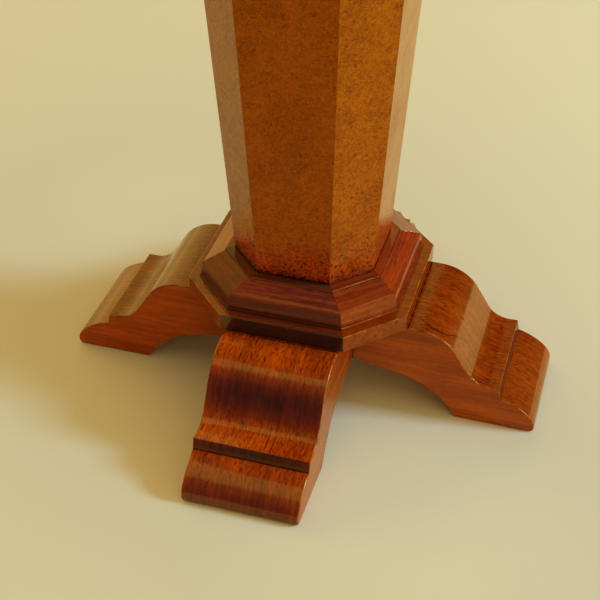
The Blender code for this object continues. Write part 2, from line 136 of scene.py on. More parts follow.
def minus(tree, first, second):
    return calculate(tree, "SUBTRACT", first, second)


def larger(tree, first, second):
    return calculate(tree, "MAXIMUM", first, second)


def vectors(tree, operation, first, second):
    """Two vectors put together. The result is a number for a dot product or a distance."""
    node = put(tree, "ShaderNodeVectorMath", {0: first, 1: second}, operation=operation)
    return node.outputs["Value" if operation in ("DOT_PRODUCT", "DISTANCE") else "Vector"]


world = bpy.data.worlds.new("room")
scene.world = world
world.use_nodes = True
room = world.node_tree
room.nodes.clear()
direction = put(room, "ShaderNodeTexCoord").outputs["Generated"]
room_light = DIM_GLOW
for part in (SWEEP, FAR_WALL, PALE_WALL, CEILING):
    towards = vectors(room, "DOT_PRODUCT", direction, part.direction)
    room_light = mix_colour(room, ramp(room, towards, part.starts, part.full), room_light, part.colour)
glow = put(room, "ShaderNodeBackground", {"Color": room_light})
pale = put(room, "ShaderNodeBackground", {"Color": PALE_SURROUND})
rays = put(room, "ShaderNodeLightPath").outputs
seen = larger(room, rays["Is Camera Ray"], rays["Is Transmission Ray"])
surround = put(room, "ShaderNodeMixShader", {"Fac": seen, 1: glow.outputs[0], 2: pale.outputs[0]})
put(room, "ShaderNodeOutputWorld", {"Surface": surround.outputs[0]})

# Floor
# A wide sheet of pale background paper, matt, with only a faint cloudiness. Two areas near the base
# are painted paler for the camera only: painted light that lifts the shade of the table there. It lies
# flat under the feet.
FLOOR_RADIUS = 9.0
FLOOR_SEGMENTS = 96
FLOOR_DROP = 0.0002  # keeps the paper just clear of the soles
PAPER = (0.810, 0.765, 0.725)
PAPER_SHADE = (0.790, 0.740, 0.695)
PAPER_IN_REFLECTIONS = (0.820, 0.770, 0.520)  # painted reflection: the paper shows warmer in the polish's reflections than to the camera
# Painted light: areas of the paper painted paler, for the camera only, where the table's shade lies near
# the base.
PAPER_PAINTED_LIGHT = (0.920, 0.862, 0.768)
PAINTED_LIGHT_AREAS = (  # middle, reach and share
    (Vector((0.12, -0.165, 0.0)), 0.19, 1.0),
    (Vector((-0.195, 0.15, 0.0)), 0.19, 0.6),
)
PAINTED_LIGHT_FULL = 0.2  # share of the reach
PAPER_ROUGHNESS = 0.9
PAPER_SHINE = 0.0
Pattern = namedtuple("Pattern", "scale detail low high roughness distortion", defaults=(0.0, 1.0, 0.5, 0.0))
PAPER_CLOUDS = Pattern(3.0, 3.0)

bm = bmesh.new()
bmesh.ops.create_circle(bm, cap_ends=True, segments=FLOOR_SEGMENTS, radius=FLOOR_RADIUS)
bmesh.ops.translate(bm, vec=(0.0, 0.0, -FLOOR_DROP), verts=bm.verts)
floor_mesh = bpy.data.meshes.new("floor")
bm.to_mesh(floor_mesh)
bm.free()
floor = bpy.data.objects.new("floor", floor_mesh)
scene.collection.objects.link(floor)


def new_material(name):
    """An empty material, and its tree, which the caller fills."""
    material = bpy.data.materials.new(name)
    material.use_nodes = True
    material.node_tree.nodes.clear()
    return material, material.node_tree


def close_material(tree, inputs):
    """Adds the shader with its inputs, and the material's output."""
    shader = put(tree, "ShaderNodeBsdfPrincipled", inputs)
    put(tree, "ShaderNodeOutputMaterial", {"Surface": shader.outputs[0]})


def object_place(tree):
    return put(tree, "ShaderNodeTexCoord").outputs["Object"]


def noise(tree, place, pattern):
    """A pattern's noise from 0 to 1. Its scale is in features per metre."""
    inputs = {"Vector": place, "Scale": pattern.scale, "Detail": pattern.detail}
    inputs["Roughness"] = pattern.roughness
    inputs["Distortion"] = pattern.distortion
    return put(tree, "ShaderNodeTexNoise", inputs).outputs["Fac"]


paper, tree = new_material("background_paper")
place = object_place(tree)
paper_colour = mix_colour(tree, noise(tree, place, PAPER_CLOUDS), PAPER, PAPER_SHADE)
rays = put(tree, "ShaderNodeLightPath").outputs
# painted light on the paper near the base, seen by the camera only
for middle, reach, share in PAINTED_LIGHT_AREAS:
    painted_light = ramp(tree, vectors(tree, "DISTANCE", place, middle), reach, reach * PAINTED_LIGHT_FULL)
    painted_light = times(tree, painted_light, share, rays["Is Camera Ray"])
    paper_colour = mix_colour(tree, painted_light, paper_colour, PAPER_PAINTED_LIGHT)
paper_colour = mix_colour(tree, rays["Is Glossy Ray"], paper_colour, PAPER_IN_REFLECTIONS)
paper_finish = {"Base Color": paper_colour, "Roughness": PAPER_ROUGHNESS, "Specular IOR Level": PAPER_SHINE}
close_material(tree, paper_finish)
floor_mesh.materials.append(paper)

# Feet
# Each foot is one thick block of mahogany, sawn to an ogee with a step and a rounded nose, arched
# underneath and polished. It is tenoned into the hub, and the plinth is screwed down on it.
FOOT_HEIGHT = 0.0854
FOOT_WIDTH = 0.0950
FOOT_REACH = 0.2030
FOOT_INNER = 0.0478
SOLE_LENGTH = 0.0665
NOSE_LENGTH = 0.0300
NOSE_HEIGHT = 0.0290
NOSE_FALL = 0.0042
NOSE_BROW = 0.0115
STEP_DRAFT = 0.0020
HOLLOW_HEIGHT = 0.0388
HOLLOW_LIP = 0.0075
OGEE_ANGLE = math.radians(58.0)
ROLL_RADIUS = 0.0380
HOLLOW_RADIUS = 0.0215
TOE_RADIUS = 0.0045
ARCH_RADIUS = 0.0776
ARCH_HEEL_ANGLE = math.radians(59.5)
ARCH_CROWN_ANGLE = math.radians(7.7)
FOOT_ARRIS = 0.0012  # rubbed round by use, more in some places than in others
STEP_ARRIS = 0.0007
STEP_END_ARRIS = 0.00056
STEP_SHADE = 0.0008  # reach of the dirt and painted shade in the corner at the foot of the step
STEP_ZONE = 0.0032  # half the reach that counts as the step
SEAT_EDGE = 0.0929  # reach at which the foot comes out from under the plinth
# Painted shadow: a dark line on each foot's top along the plinth's edge, where the plinth shades it.
SEAT_SHADOW_REACH = 0.0009
SEAT_SHADOW = 1.35
# the corner at the foot of the step is darkened with dirt and painted shade
CORNER_DIRT_AND_SHADE = 1.0
HEEL_ROUND = 0.0022
FINE_STEP = math.radians(3.0)
MIDDLE_STEP = 2 * FINE_STEP
COARSE_STEP = 4 * FINE_STEP
NOSE_STEPS = 18
SLOPE_STEPS = 6
QUARTER_TURN = math.pi / 2
ROUND_SHARES = (0.0, 0.25, 0.5, 0.75, 1.0)
SHARPEST = 0.4  # keeps a point from running away where an outline turns sharply
SHARP_ANGLE = math.radians(35.0)
SAME_PLACE = 1e-6
END_FACES = 1
STEP_FACES = 2
FEET = ("right", "back", "left", "front")
ARRIS_TURNS = (90, 65, 40, 18, 0)
BETWEEN_ARRISES = (-0.7, 0.0, 0.7)  # shares of the half width
Rub = namedtuple("Rub", "share pace shift")  # a wave in the arris: its part, its pace, its shift by foot
RUB_ALONG = Rub(0.30, 61.0, 3.0)
RUB_UP = Rub(0.20, 149.0, 5.0)
PLANK_SPACING = Vector((0.70, 0.31, 0.17))  # between the places that neighbours are cut from
FOOT_TONES_AND_SHADE = {"right": 0.69, "back": 0.80, "left": 0.54, "front": 1.00}  # each foot's tone; the left foot's low tone is painted shade, for the shade of the pillar
FOOT_LIGHT = (0.730, 0.104, 0.002)
FOOT_DARK = (0.260, 0.022, 0.002)
FOOT_PORE = (0.120, 0.010, 0.002)
FOOT_DASHES = 0.85
SIDE_LIGHT = (0.680, 0.104, 0.002)
SIDE_DARK = (0.270, 0.018, 0.002)
SIDE_TONES = {"left": (1.03, 0.78, 1.0)}
SIDE_DASHES = 0.25
WORN_WOOD = (0.620, 0.200, 0.040)
DEEP_STAIN = (0.042, 0.010, 0.022)  # where the saw cuts across the fibres, which drink the stain
PALER_END_GRAIN = (0.520, 0.190, 0.030)  # a paler colour for the same places; on the left foot it is painted reflection of the floor beside it
END_GRAIN_COLOURS = {"right": PALER_END_GRAIN, "back": DEEP_STAIN, "left": PALER_END_GRAIN, "front": DEEP_STAIN}
# Each foot's share of end-grain colour follows its light: the front foot's full share also paints shade on
# its slopes.
END_GRAIN_STAIN_AND_SHADE = {"right": 0.22, "back": 0.40, "left": 0.75, "front": 1.00}
STEP_STAIN = 0.5  # least that a step has drunk
STEEP_STARTS = 0.20  # steepness at which the end grain starts to drink
STEEP_SPAN = 0.62
NOSE_STAIN = 0.75
SLOPE_MIDDLE = 0.0620  # height where the end grain is darkest
SLOPE_DARK_HALF = 0.0215
EDGE_FADE = 0.18  # part of the stain that is missing at the arrises
DIRT_AND_SHADE_COLOUR = (0.012, 0.005, 0.003)
POLISH_TINT = (1.0, 1.0, 0.42)  # shellac is amber
POLISH_SHINE = 0.5
POLISH_GLOSS = (0.09, 0.17)  # roughness where it is glossy and where it is dull
RUBBED_DULL = 0.35
PORE_DEPTH = 0.07
PIT_SIZE = 0.0002
DASHES_LOST = 0.6  # part of the dashes that the stain hides on end grain
LEAST_STAIN = 0.84
STEP_SHINE = 0.10  # the step's end grain has soaked up its polish
STEP_FACING = 0.90
Spot = namedtuple("Spot", "place grain end_grain wear dirt cut", defaults=(0.0, 0.0, 0.0))


def arc(centre, radius, start, end, step=FINE_STEP):
    """Points on an arc about centre from one angle to another, with both ends."""
    steps = max(2, math.ceil(abs(end - start) / step))
    angles = [start + (end - start) * i / steps for i in range(steps + 1)]
    return [(centre[0] + radius * math.cos(a), centre[1] + radius * math.sin(a)) for a in angles]


def bezier(start, leave, arrive, end, steps):
    """Points on a cubic curve, without its first point."""
    points = []
    for i in range(1, steps + 1):
        t = i / steps
        weights = ((1 - t) ** 3, 3 * t * (1 - t) ** 2, 3 * t * t * (1 - t), t**3)
        controls = (start, leave, arrive, end)
        x = sum(weight * point[0] for weight, point in zip(weights, controls))
        y = sum(weight * point[1] for weight, point in zip(weights, controls))
        points.append((x, y))
    return points


def rounded_corner(before, corner, after, radius):
    """A corner of an outline rounded off, as five points."""
    corner = Vector(corner[:2])
    to_before = (Vector(before[:2]) - corner).normalized()
    to_after = (Vector(after[:2]) - corner).normalized()
    reach = radius / math.tan(to_before.angle(to_after) / 2)
    start = corner + to_before * reach
    end = corner + to_after * reach
    points = []
    for t in ROUND_SHARES:
        point = start * (1 - t) ** 2 + corner * 2 * t * (1 - t) + end * t**2
        points.append((point.x, point.y))
    return points


def foot_outline():
    """The foot's side view as (reach, height), from the top of the hub's end round to its bottom."""
    step_foot = (FOOT_REACH - NOSE_LENGTH, NOSE_HEIGHT)
    step_arris = (step_foot[0] - STEP_DRAFT, HOLLOW_HEIGHT)
    hollow_end = step_arris[0] - HOLLOW_LIP
    radii = ROLL_RADIUS + HOLLOW_RADIUS
    curved_drop = radii * (1 - math.cos(OGEE_ANGLE))
    straight_run = (FOOT_HEIGHT - HOLLOW_HEIGHT - curved_drop) / math.sin(OGEE_ANGLE)
    ogee_run = radii * math.sin(OGEE_ANGLE) + straight_run * math.cos(OGEE_ANGLE)
    roll_centre = (hollow_end - ogee_run, FOOT_HEIGHT - ROLL_RADIUS)
    hollow_centre = (hollow_end, HOLLOW_HEIGHT + HOLLOW_RADIUS)
    points = [(FOOT_INNER, FOOT_HEIGHT)]
    points += [(SEAT_EDGE + offset, FOOT_HEIGHT) for offset in (-SEAT_SHADOW_REACH, 0.0, SEAT_SHADOW_REACH)]
    points += arc(roll_centre, ROLL_RADIUS, QUARTER_TURN, QUARTER_TURN - OGEE_ANGLE)
    hollow = arc(hollow_centre, HOLLOW_RADIUS, -QUARTER_TURN - OGEE_ANGLE, -QUARTER_TURN)
    slope_start = Vector(points[-1])
    slope_foot = Vector(hollow[0])
    for step in range(1, SLOPE_STEPS):
        points.append(tuple(slope_start.lerp(slope_foot, step / SLOPE_STEPS)))
    points += hollow
    points += rounded_corner(points[-1], step_arris, step_foot, STEP_ARRIS)
    riser_share = STEP_SHADE / (HOLLOW_HEIGHT - NOSE_HEIGHT)
    points.append((step_foot[0] - STEP_DRAFT * riser_share, NOSE_HEIGHT + STEP_SHADE))
    points += [step_foot, (step_foot[0] + STEP_SHADE, NOSE_HEIGHT)]
    nose_leave = (step_foot[0] + NOSE_LENGTH / 2, NOSE_HEIGHT - NOSE_FALL)
    nose_arrive = (FOOT_REACH, TOE_RADIUS + NOSE_BROW)
    points += bezier(points[-1], nose_leave, nose_arrive, (FOOT_REACH, TOE_RADIUS), NOSE_STEPS)
    toe_centre = (FOOT_REACH - TOE_RADIUS, TOE_RADIUS)
    points += arc(toe_centre, TOE_RADIUS, 0.0, -QUARTER_TURN, COARSE_STEP)[1:]
    heel = (FOOT_REACH - SOLE_LENGTH, 0.0)
    heel_turn = QUARTER_TURN - ARCH_HEEL_ANGLE
    crown_turn = QUARTER_TURN - ARCH_CROWN_ANGLE
    arch_centre = (heel[0] - ARCH_RADIUS * math.cos(heel_turn), -ARCH_RADIUS * math.sin(heel_turn))
    arch = arc(arch_centre, ARCH_RADIUS, heel_turn, crown_turn)[2:]  # the round takes the first two
    points += rounded_corner(points[-1], heel, arch[0], HEEL_ROUND)
    points += arch
    crown_rise = (arch[-1][0] - FOOT_INNER) * math.tan(ARCH_CROWN_ANGLE)
    points.append((FOOT_INNER, arch[-1][1] + crown_rise))
    return points


def edges_at(outline, index):
    """The directions of the edges that meet at a point of a closed outline."""
    here = Vector(outline[index])
    before = (here - Vector(outline[index - 1])).normalized()
    after = (Vector(outline[(index + 1) % len(outline)]) - here).normalized()
    return before, after


def drawn_in(outline, distances):
    """A clockwise outline moved inwards by a distance at each point."""
    moved = []
    for index, point in enumerate(outline):
        before, after = edges_at(outline, index)
        inward_before = Vector((before.y, -before.x))
        inward_after = Vector((after.y, -after.x))
        inward = (inward_before + inward_after) / max(SHARPEST, 1 + inward_before.dot(inward_after))
        shifted = Vector(point) + inward * distances[index]
        moved.append((shifted.x, shifted.y))
    return moved


def path_lengths(outline):
    """How far each point is from the first one, along the outline."""
    lengths = [0.0]
    for before, after in zip(outline, outline[1:]):
        lengths.append(lengths[-1] + math.dist(before, after))
    return lengths


def skin(name, *bodies):
    """A mesh of closed bodies. Each body is a stack of rings of spots, closed by a face at each end."""
    bm = bmesh.new()
    spots = []
    for rings in bodies:
        loops = []
        for ring in rings:
            loops.append([bm.verts.new(spot.place) for spot in ring])
            spots += ring
        for lower, upper in zip(loops, loops[1:]):
            for i in range(len(lower)):
                j = (i + 1) % len(lower)
                bm.faces.new((lower[i], lower[j], upper[j], upper[i]))
        for end in (loops[0], loops[-1]):
            bm.faces.new(end).material_index = END_FACES
    bmesh.ops.recalc_face_normals(bm, faces=bm.faces)
    mesh = bpy.data.meshes.new(name)
    bm.to_mesh(mesh)
    bm.free()
    grain = []
    for face in mesh.polygons:
        for index in face.vertices:
            grain.extend(spots[index].end_grain if face.material_index else spots[index].grain)
    mesh.attributes.new("grain", "FLOAT_VECTOR", "CORNER").data.foreach_set("vector", grain)
    for mark in ("wear", "dirt", "cut"):
        values = [getattr(spot, mark) for spot in spots]
        mesh.attributes.new(mark, "FLOAT", "POINT").data.foreach_set("value", values)
    mesh.shade_smooth()
    mesh.set_sharp_from_angle(angle=SHARP_ANGLE)
    piece = bpy.data.objects.new(name, mesh)
    scene.collection.objects.link(piece)
    piece.modifiers.new("even_shading", "WEIGHTED_NORMAL").keep_sharp = True
    return piece


def fit(piece, node, slot, *materials):
    """Gives a piece its finishes, for its skin and for its end faces, and puts it in its node's place."""
    for material in materials:
        piece.data.materials.append(material)
    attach(piece, "root")
    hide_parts(node)


def group(name, inputs, outputs):
    """A shader node group with named sockets, and its two ends."""
    tree = bpy.data.node_groups.new(name, "ShaderNodeTree")
    for socket, kind in inputs.items():
        tree.interface.new_socket(socket, in_out="INPUT", socket_type=f"NodeSocket{kind}")
    for socket, kind in outputs.items():
        tree.interface.new_socket(socket, in_out="OUTPUT", socket_type=f"NodeSocket{kind}")
    given = tree.nodes.new("NodeGroupInput").outputs
    result = tree.nodes.new("NodeGroupOutput").inputs
    return tree, given, result


def place_group(tree, node_tree, inputs):
    """Places a group in a material with its own values."""
    node = put(tree, "ShaderNodeGroup", node_tree=node_tree)
    connect(tree, inputs, node.inputs)
    return node.outputs


def patches(tree, place, pattern):
    """A pattern's noise as a mask, cut off smoothly at its limits."""
    return ramp(tree, noise(tree, place, pattern), pattern.low, pattern.high)


def grain_noise(tree, place, grain):
    """Noise drawn out along the first axis. Both its sizes are in features per metre."""
    stretched = vectors(tree, "MULTIPLY", place, (grain.along, grain.across, grain.across))
    return noise(tree, stretched, Pattern(1.0, grain.detail, roughness=grain.roughness))


def streaks(tree, place, grain):
    """A grain's noise as a mask, cut off smoothly at its limits."""
    return ramp(tree, grain_noise(tree, place, grain), grain.low, grain.high)


# Figure of a plank: broad ribbons, fine streaks, and short dark dashes where pores are cut open
Grain = namedtuple("Grain", "along across detail low high share roughness", defaults=(1.0, 0.5))
RIBBON = Grain(5.0, 75.0, 3.0, 0.30, 0.70, 0.25)
STREAK = Grain(22.0, 330.0, 3.0, 0.36, 0.64, 0.30)
CLOUD = Grain(18.0, 36.0, 2.0, 0.30, 0.70, 0.20)
FLECK = Grain(150.0, 560.0, 2.0, 0.40, 0.60, 0.35)
PORE_DASH = Grain(170.0, 620.0, 2.0, 0.48, 0.68, roughness=0.6)
FINE_PORE = Grain(420.0, 1900.0, 1.0, 0.50, 0.75, 0.6)
UNEVEN_STAIN = Grain(36.0, 210.0, 4.0, 0.35, 0.65)
plank, given, result = group(
    "plank_figure",
    {"Place": "Vector", "Light": "Color", "Dark": "Color", "Pore": "Color", "Dashes": "Float"},
    {"Colour": "Color", "Pores": "Float"},
)
parts = [times(plank, streaks(plank, given["Place"], part), part.share) for part in (RIBBON, STREAK, CLOUD)]
fleck_part = times(plank, streaks(plank, given["Place"], FLECK), given["Dashes"], FLECK.share)
tone = plus(plank, *parts, fleck_part)
body_colour = mix_colour(plank, tone, given["Dark"], given["Light"])
fine_pores = times(plank, streaks(plank, given["Place"], FINE_PORE), FINE_PORE.share)
pores = larger(plank, streaks(plank, given["Place"], PORE_DASH), fine_pores)
pore_share = times(plank, pores, given["Dashes"])
plank_colour = mix_colour(plank, pore_share, body_colour, given["Pore"])
connect(plank, {"Colour": plank_colour, "Pores": pores}, result)

# Polish film: glossier here, duller and smeared there
SMEARS = Pattern(26.0, 5.0, 0.35, 0.75, 0.65)
film, given, result = group(
    "polish_film",
    {"Place": "Vector", "Glossy": "Float", "Dull": "Float"},
    {"Roughness": "Float"},
)
dulled = times(film, minus(film, given["Dull"], given["Glossy"]), patches(film, given["Place"], SMEARS))
connect(film, {"Roughness": plus(film, given["Glossy"], dulled)}, result)

# Arris colour: in patches, the stain worn through to paler wood; on the front-right moulding strip the same
# mask paints a highlight, and on some other strips a dark line
ARRIS_PATCHES = Pattern(130.0, 4.0, 0.40, 0.64, 0.6)
ARRIS_MOST = 0.75
arris_wear_and_highlight_tree, given, result = group(
    "arris_wear_and_highlight",
    {"Place": "Vector", "Wear": "Float", "Colour": "Color", "Arris_colour": "Color"},
    {"Colour": "Color", "Mask": "Float"},
)
arris_share = times(arris_wear_and_highlight_tree, given["Wear"], patches(arris_wear_and_highlight_tree, given["Place"], ARRIS_PATCHES), ARRIS_MOST)
arris_mixed_colour = mix_colour(arris_wear_and_highlight_tree, arris_share, given["Colour"], given["Arris_colour"])
connect(arris_wear_and_highlight_tree, {"Colour": arris_mixed_colour, "Mask": arris_share}, result)

# Dirt and shade in corners: dark wax and dust, and painted shade where a corner lies in shadow
DIRT_AND_SHADE_PATCHES = Pattern(160.0, 3.0, 0.25, 0.60, 0.6)
DIRT_AND_SHADE_STARTS = 0.15
DIRT_AND_SHADE_FULL = 0.85
corner_dirt_and_shade_tree, given, result = group(
    "corner_dirt_and_shade",
    {"Place": "Vector", "Dirt": "Float", "Colour": "Color", "Dark": "Color"},
    {"Colour": "Color", "Mask": "Float"},
)
uneven_dirt_and_shade = times(corner_dirt_and_shade_tree, given["Dirt"], patches(corner_dirt_and_shade_tree, given["Place"], DIRT_AND_SHADE_PATCHES))
dirt_and_shade_mask = ramp(corner_dirt_and_shade_tree, uneven_dirt_and_shade, DIRT_AND_SHADE_STARTS, DIRT_AND_SHADE_FULL)
dirt_and_shade_colour = mix_colour(corner_dirt_and_shade_tree, dirt_and_shade_mask, given["Colour"], given["Dark"])
connect(corner_dirt_and_shade_tree, {"Colour": dirt_and_shade_colour, "Mask": dirt_and_shade_mask}, result)


def attribute(tree, name, kind="Fac"):
    return put(tree, "ShaderNodeAttribute", attribute_name=name).outputs[kind]


def colour_arrises(tree, place, colour, arris_colour):
    """A colour with its arrises rubbed."""
    return place_group(tree, arris_wear_and_highlight_tree, {
        "Place": place, "Wear": attribute(tree, "wear"), "Colour": colour, "Arris_colour": arris_colour,
    })


def add_corner_dirt_and_shade(tree, place, colour):
    """A colour with dirt and painted shade in its corners."""
    return place_group(tree, corner_dirt_and_shade_tree, {
        "Place": place, "Dirt": attribute(tree, "dirt"), "Colour": colour, "Dark": DIRT_AND_SHADE_COLOUR,
    })["Colour"]


def roughness_of(tree, place, gloss):
    return place_group(tree, film, {"Place": place, "Glossy": gloss[0], "Dull": gloss[1]})["Roughness"]


def pitted(tree, height, depth):
    """The normal of a surface that is pitted where the height is high."""
    inputs = {"Height": height, "Strength": depth, "Distance": PIT_SIZE}
    return put(tree, "ShaderNodeBump", inputs, invert=True).outputs[0]


def polished_timber(
    name, light, dark, dashes, ends=DEEP_STAIN, marks_and_shade=None, arris_colour=WORN_WOOD, shine=POLISH_SHINE,
):
    """French-polished solid timber, whose grain follows each piece's own length."""
    material, tree = new_material(name)
    place = attribute(tree, "grain", "Vector")
    end_grain = attribute(tree, "cut")
    dashes_left = minus(tree, dashes, times(tree, end_grain, DASHES_LOST * dashes))
    figure = place_group(tree, plank, {
        "Place": place, "Light": light, "Dark": dark, "Pore": FOOT_PORE, "Dashes": dashes_left,
    })
    uneven = put(tree, "ShaderNodeMapRange", {
        "Value": grain_noise(tree, place, UNEVEN_STAIN), "To Min": LEAST_STAIN,
        "From Min": UNEVEN_STAIN.low, "From Max": UNEVEN_STAIN.high,
    }).outputs["Result"]
    stained = mix_colour(tree, times(tree, end_grain, uneven), figure["Colour"], ends)
    arris = colour_arrises(tree, place, stained, arris_colour)
    marked = marks_and_shade(tree, arris["Colour"]) if marks_and_shade else arris["Colour"]
    rubbed_dull = times(tree, arris["Mask"], RUBBED_DULL)
    close_material(tree, {
        "Base Color": add_corner_dirt_and_shade(tree, place, marked),
        "Roughness": plus(tree, roughness_of(tree, place, POLISH_GLOSS), rubbed_dull),
        "Normal": pitted(tree, figure["Pores"], PORE_DEPTH * dashes),
        "Specular Tint": POLISH_TINT,
        "Specular IOR Level": shine,
    })
    return material


def toned(colour, tone):
    """A colour made lighter or darker, by one share or by one for each channel."""
    shares = tone if isinstance(tone, tuple) else (tone,) * len(colour)
    return tuple(channel * share for channel, share in zip(colour, shares))


# Crack: a dark line from one point to another, with a ragged edge
SEEN_FROM_ABOVE = (1.0, 1.0, 0.0)
LINE_EDGE = 1.0  # in widths from the line
LINE_CORE = 0.5
crack_run, given, result = group(
    "crack_run",
    {"Place": "Vector", "Start": "Vector", "End": "Vector", "Width": "Float"},
    {"Mask": "Float"},
)
from_start = vectors(crack_run, "SUBTRACT", given["Place"], given["Start"])
from_start = vectors(crack_run, "MULTIPLY", from_start, SEEN_FROM_ABOVE)
whole_run = vectors(crack_run, "SUBTRACT", given["End"], given["Start"])
whole_run = vectors(crack_run, "MULTIPLY", whole_run, SEEN_FROM_ABOVE)
along_run = vectors(crack_run, "DOT_PRODUCT", from_start, whole_run)
share = calculate(crack_run, "DIVIDE", along_run, vectors(crack_run, "DOT_PRODUCT", whole_run, whole_run))
share = put(crack_run, "ShaderNodeClamp", {"Value": share}).outputs[0]
spread = put(crack_run, "ShaderNodeCombineXYZ", {"X": share, "Y": share, "Z": share}).outputs[0]
nearest = vectors(crack_run, "MULTIPLY", whole_run, spread)
off_line = vectors(crack_run, "DISTANCE", from_start, nearest)
in_widths = calculate(crack_run, "DIVIDE", off_line, given["Width"])
connect(crack_run, {"Mask": ramp(crack_run, in_widths, LINE_EDGE, LINE_CORE)}, result)

CRACK = (
    Vector((0.0990, -0.0310, 0.0854)),
    Vector((0.1040, -0.0356, 0.0854)),
    Vector((0.1110, -0.0398, 0.0838)),
    Vector((0.1188, -0.0403, 0.0808)),
    Vector((0.1243, -0.0378, 0.0770)),
    Vector((0.1290, -0.0316, 0.0720)),
    Vector((0.1380, -0.0220, 0.0600)),
)
CRACK_WIDTH = 0.0011
CRACK_TAPER = 0.00022  # for each run away from the widest place
CRACK_WIDEST = 1.5
CRACK_DARKNESS = 0.85
DENT = Vector((0.1308, -0.0056, 0.0702))
DENT_LENGTH = 0.001  # share of its place
DENT_WIDTH = 0.0013
MIDDLE_GREY = (0.5, 0.5, 0.5)
Wobble = namedtuple("Wobble", "scale detail reach")
CRACK_WOBBLE = Wobble(300.0, 3.0, (0.002, 0.002, 0.002))


def wobbled(tree, place, wobble):
    """A place shifted about by noise, up to half the reach each way."""
    inputs = {"Vector": place, "Scale": wobble.scale, "Detail": wobble.detail}
    colour = put(tree, "ShaderNodeTexNoise", inputs).outputs["Color"]
    shift = vectors(tree, "SUBTRACT", colour, MIDDLE_GREY)
    return vectors(tree, "ADD", place, vectors(tree, "MULTIPLY", shift, wobble.reach))


def cracked(tree, colour):
    """An old shake in the right foot's front arris, black with wax, and a dent near it."""
    place = wobbled(tree, object_place(tree), CRACK_WOBBLE)
    runs = [(DENT, DENT + DENT * DENT_LENGTH, DENT_WIDTH)]
    for index, (start, end) in enumerate(zip(CRACK, CRACK[1:])):
        runs.append((start, end, CRACK_WIDTH - CRACK_TAPER * abs(index - CRACK_WIDEST)))
    mask = 0.0
    for start, end, width in runs:
        run = place_group(tree, crack_run, {"Place": place, "Start": start, "End": end, "Width": width})
        mask = larger(tree, mask, run["Mask"])
    return mix_colour(tree, times(tree, mask, CRACK_DARKNESS), colour, DIRT_AND_SHADE_COLOUR)


STEP_BROWN = (0.150, 0.045, 0.010)
STEP_BROWN_TOP = 0.0338
STEP_BROWN_FULL = 0.0318
STEP_BROWN_SHARE = 0.55


def axes_of(tree, place):
    return put(tree, "ShaderNodeSeparateXYZ", {"Vector": place}).outputs


def browned_step(tree, colour):
    """The lower part of a step, made a paler brown above the dark line at its foot."""
    height = axes_of(tree, object_place(tree))["Z"]
    low = ramp(tree, height, STEP_BROWN_TOP, STEP_BROWN_FULL)
    above_corner_line = ramp(tree, height, NOSE_HEIGHT + STEP_SHADE, NOSE_HEIGHT + 2 * STEP_SHADE)
    return mix_colour(tree, times(tree, low, above_corner_line, STEP_BROWN_SHARE), colour, STEP_BROWN)


def rub_wave(rub, distance, turn):
    return rub.share * math.sin(rub.pace * distance + rub.shift * turn)


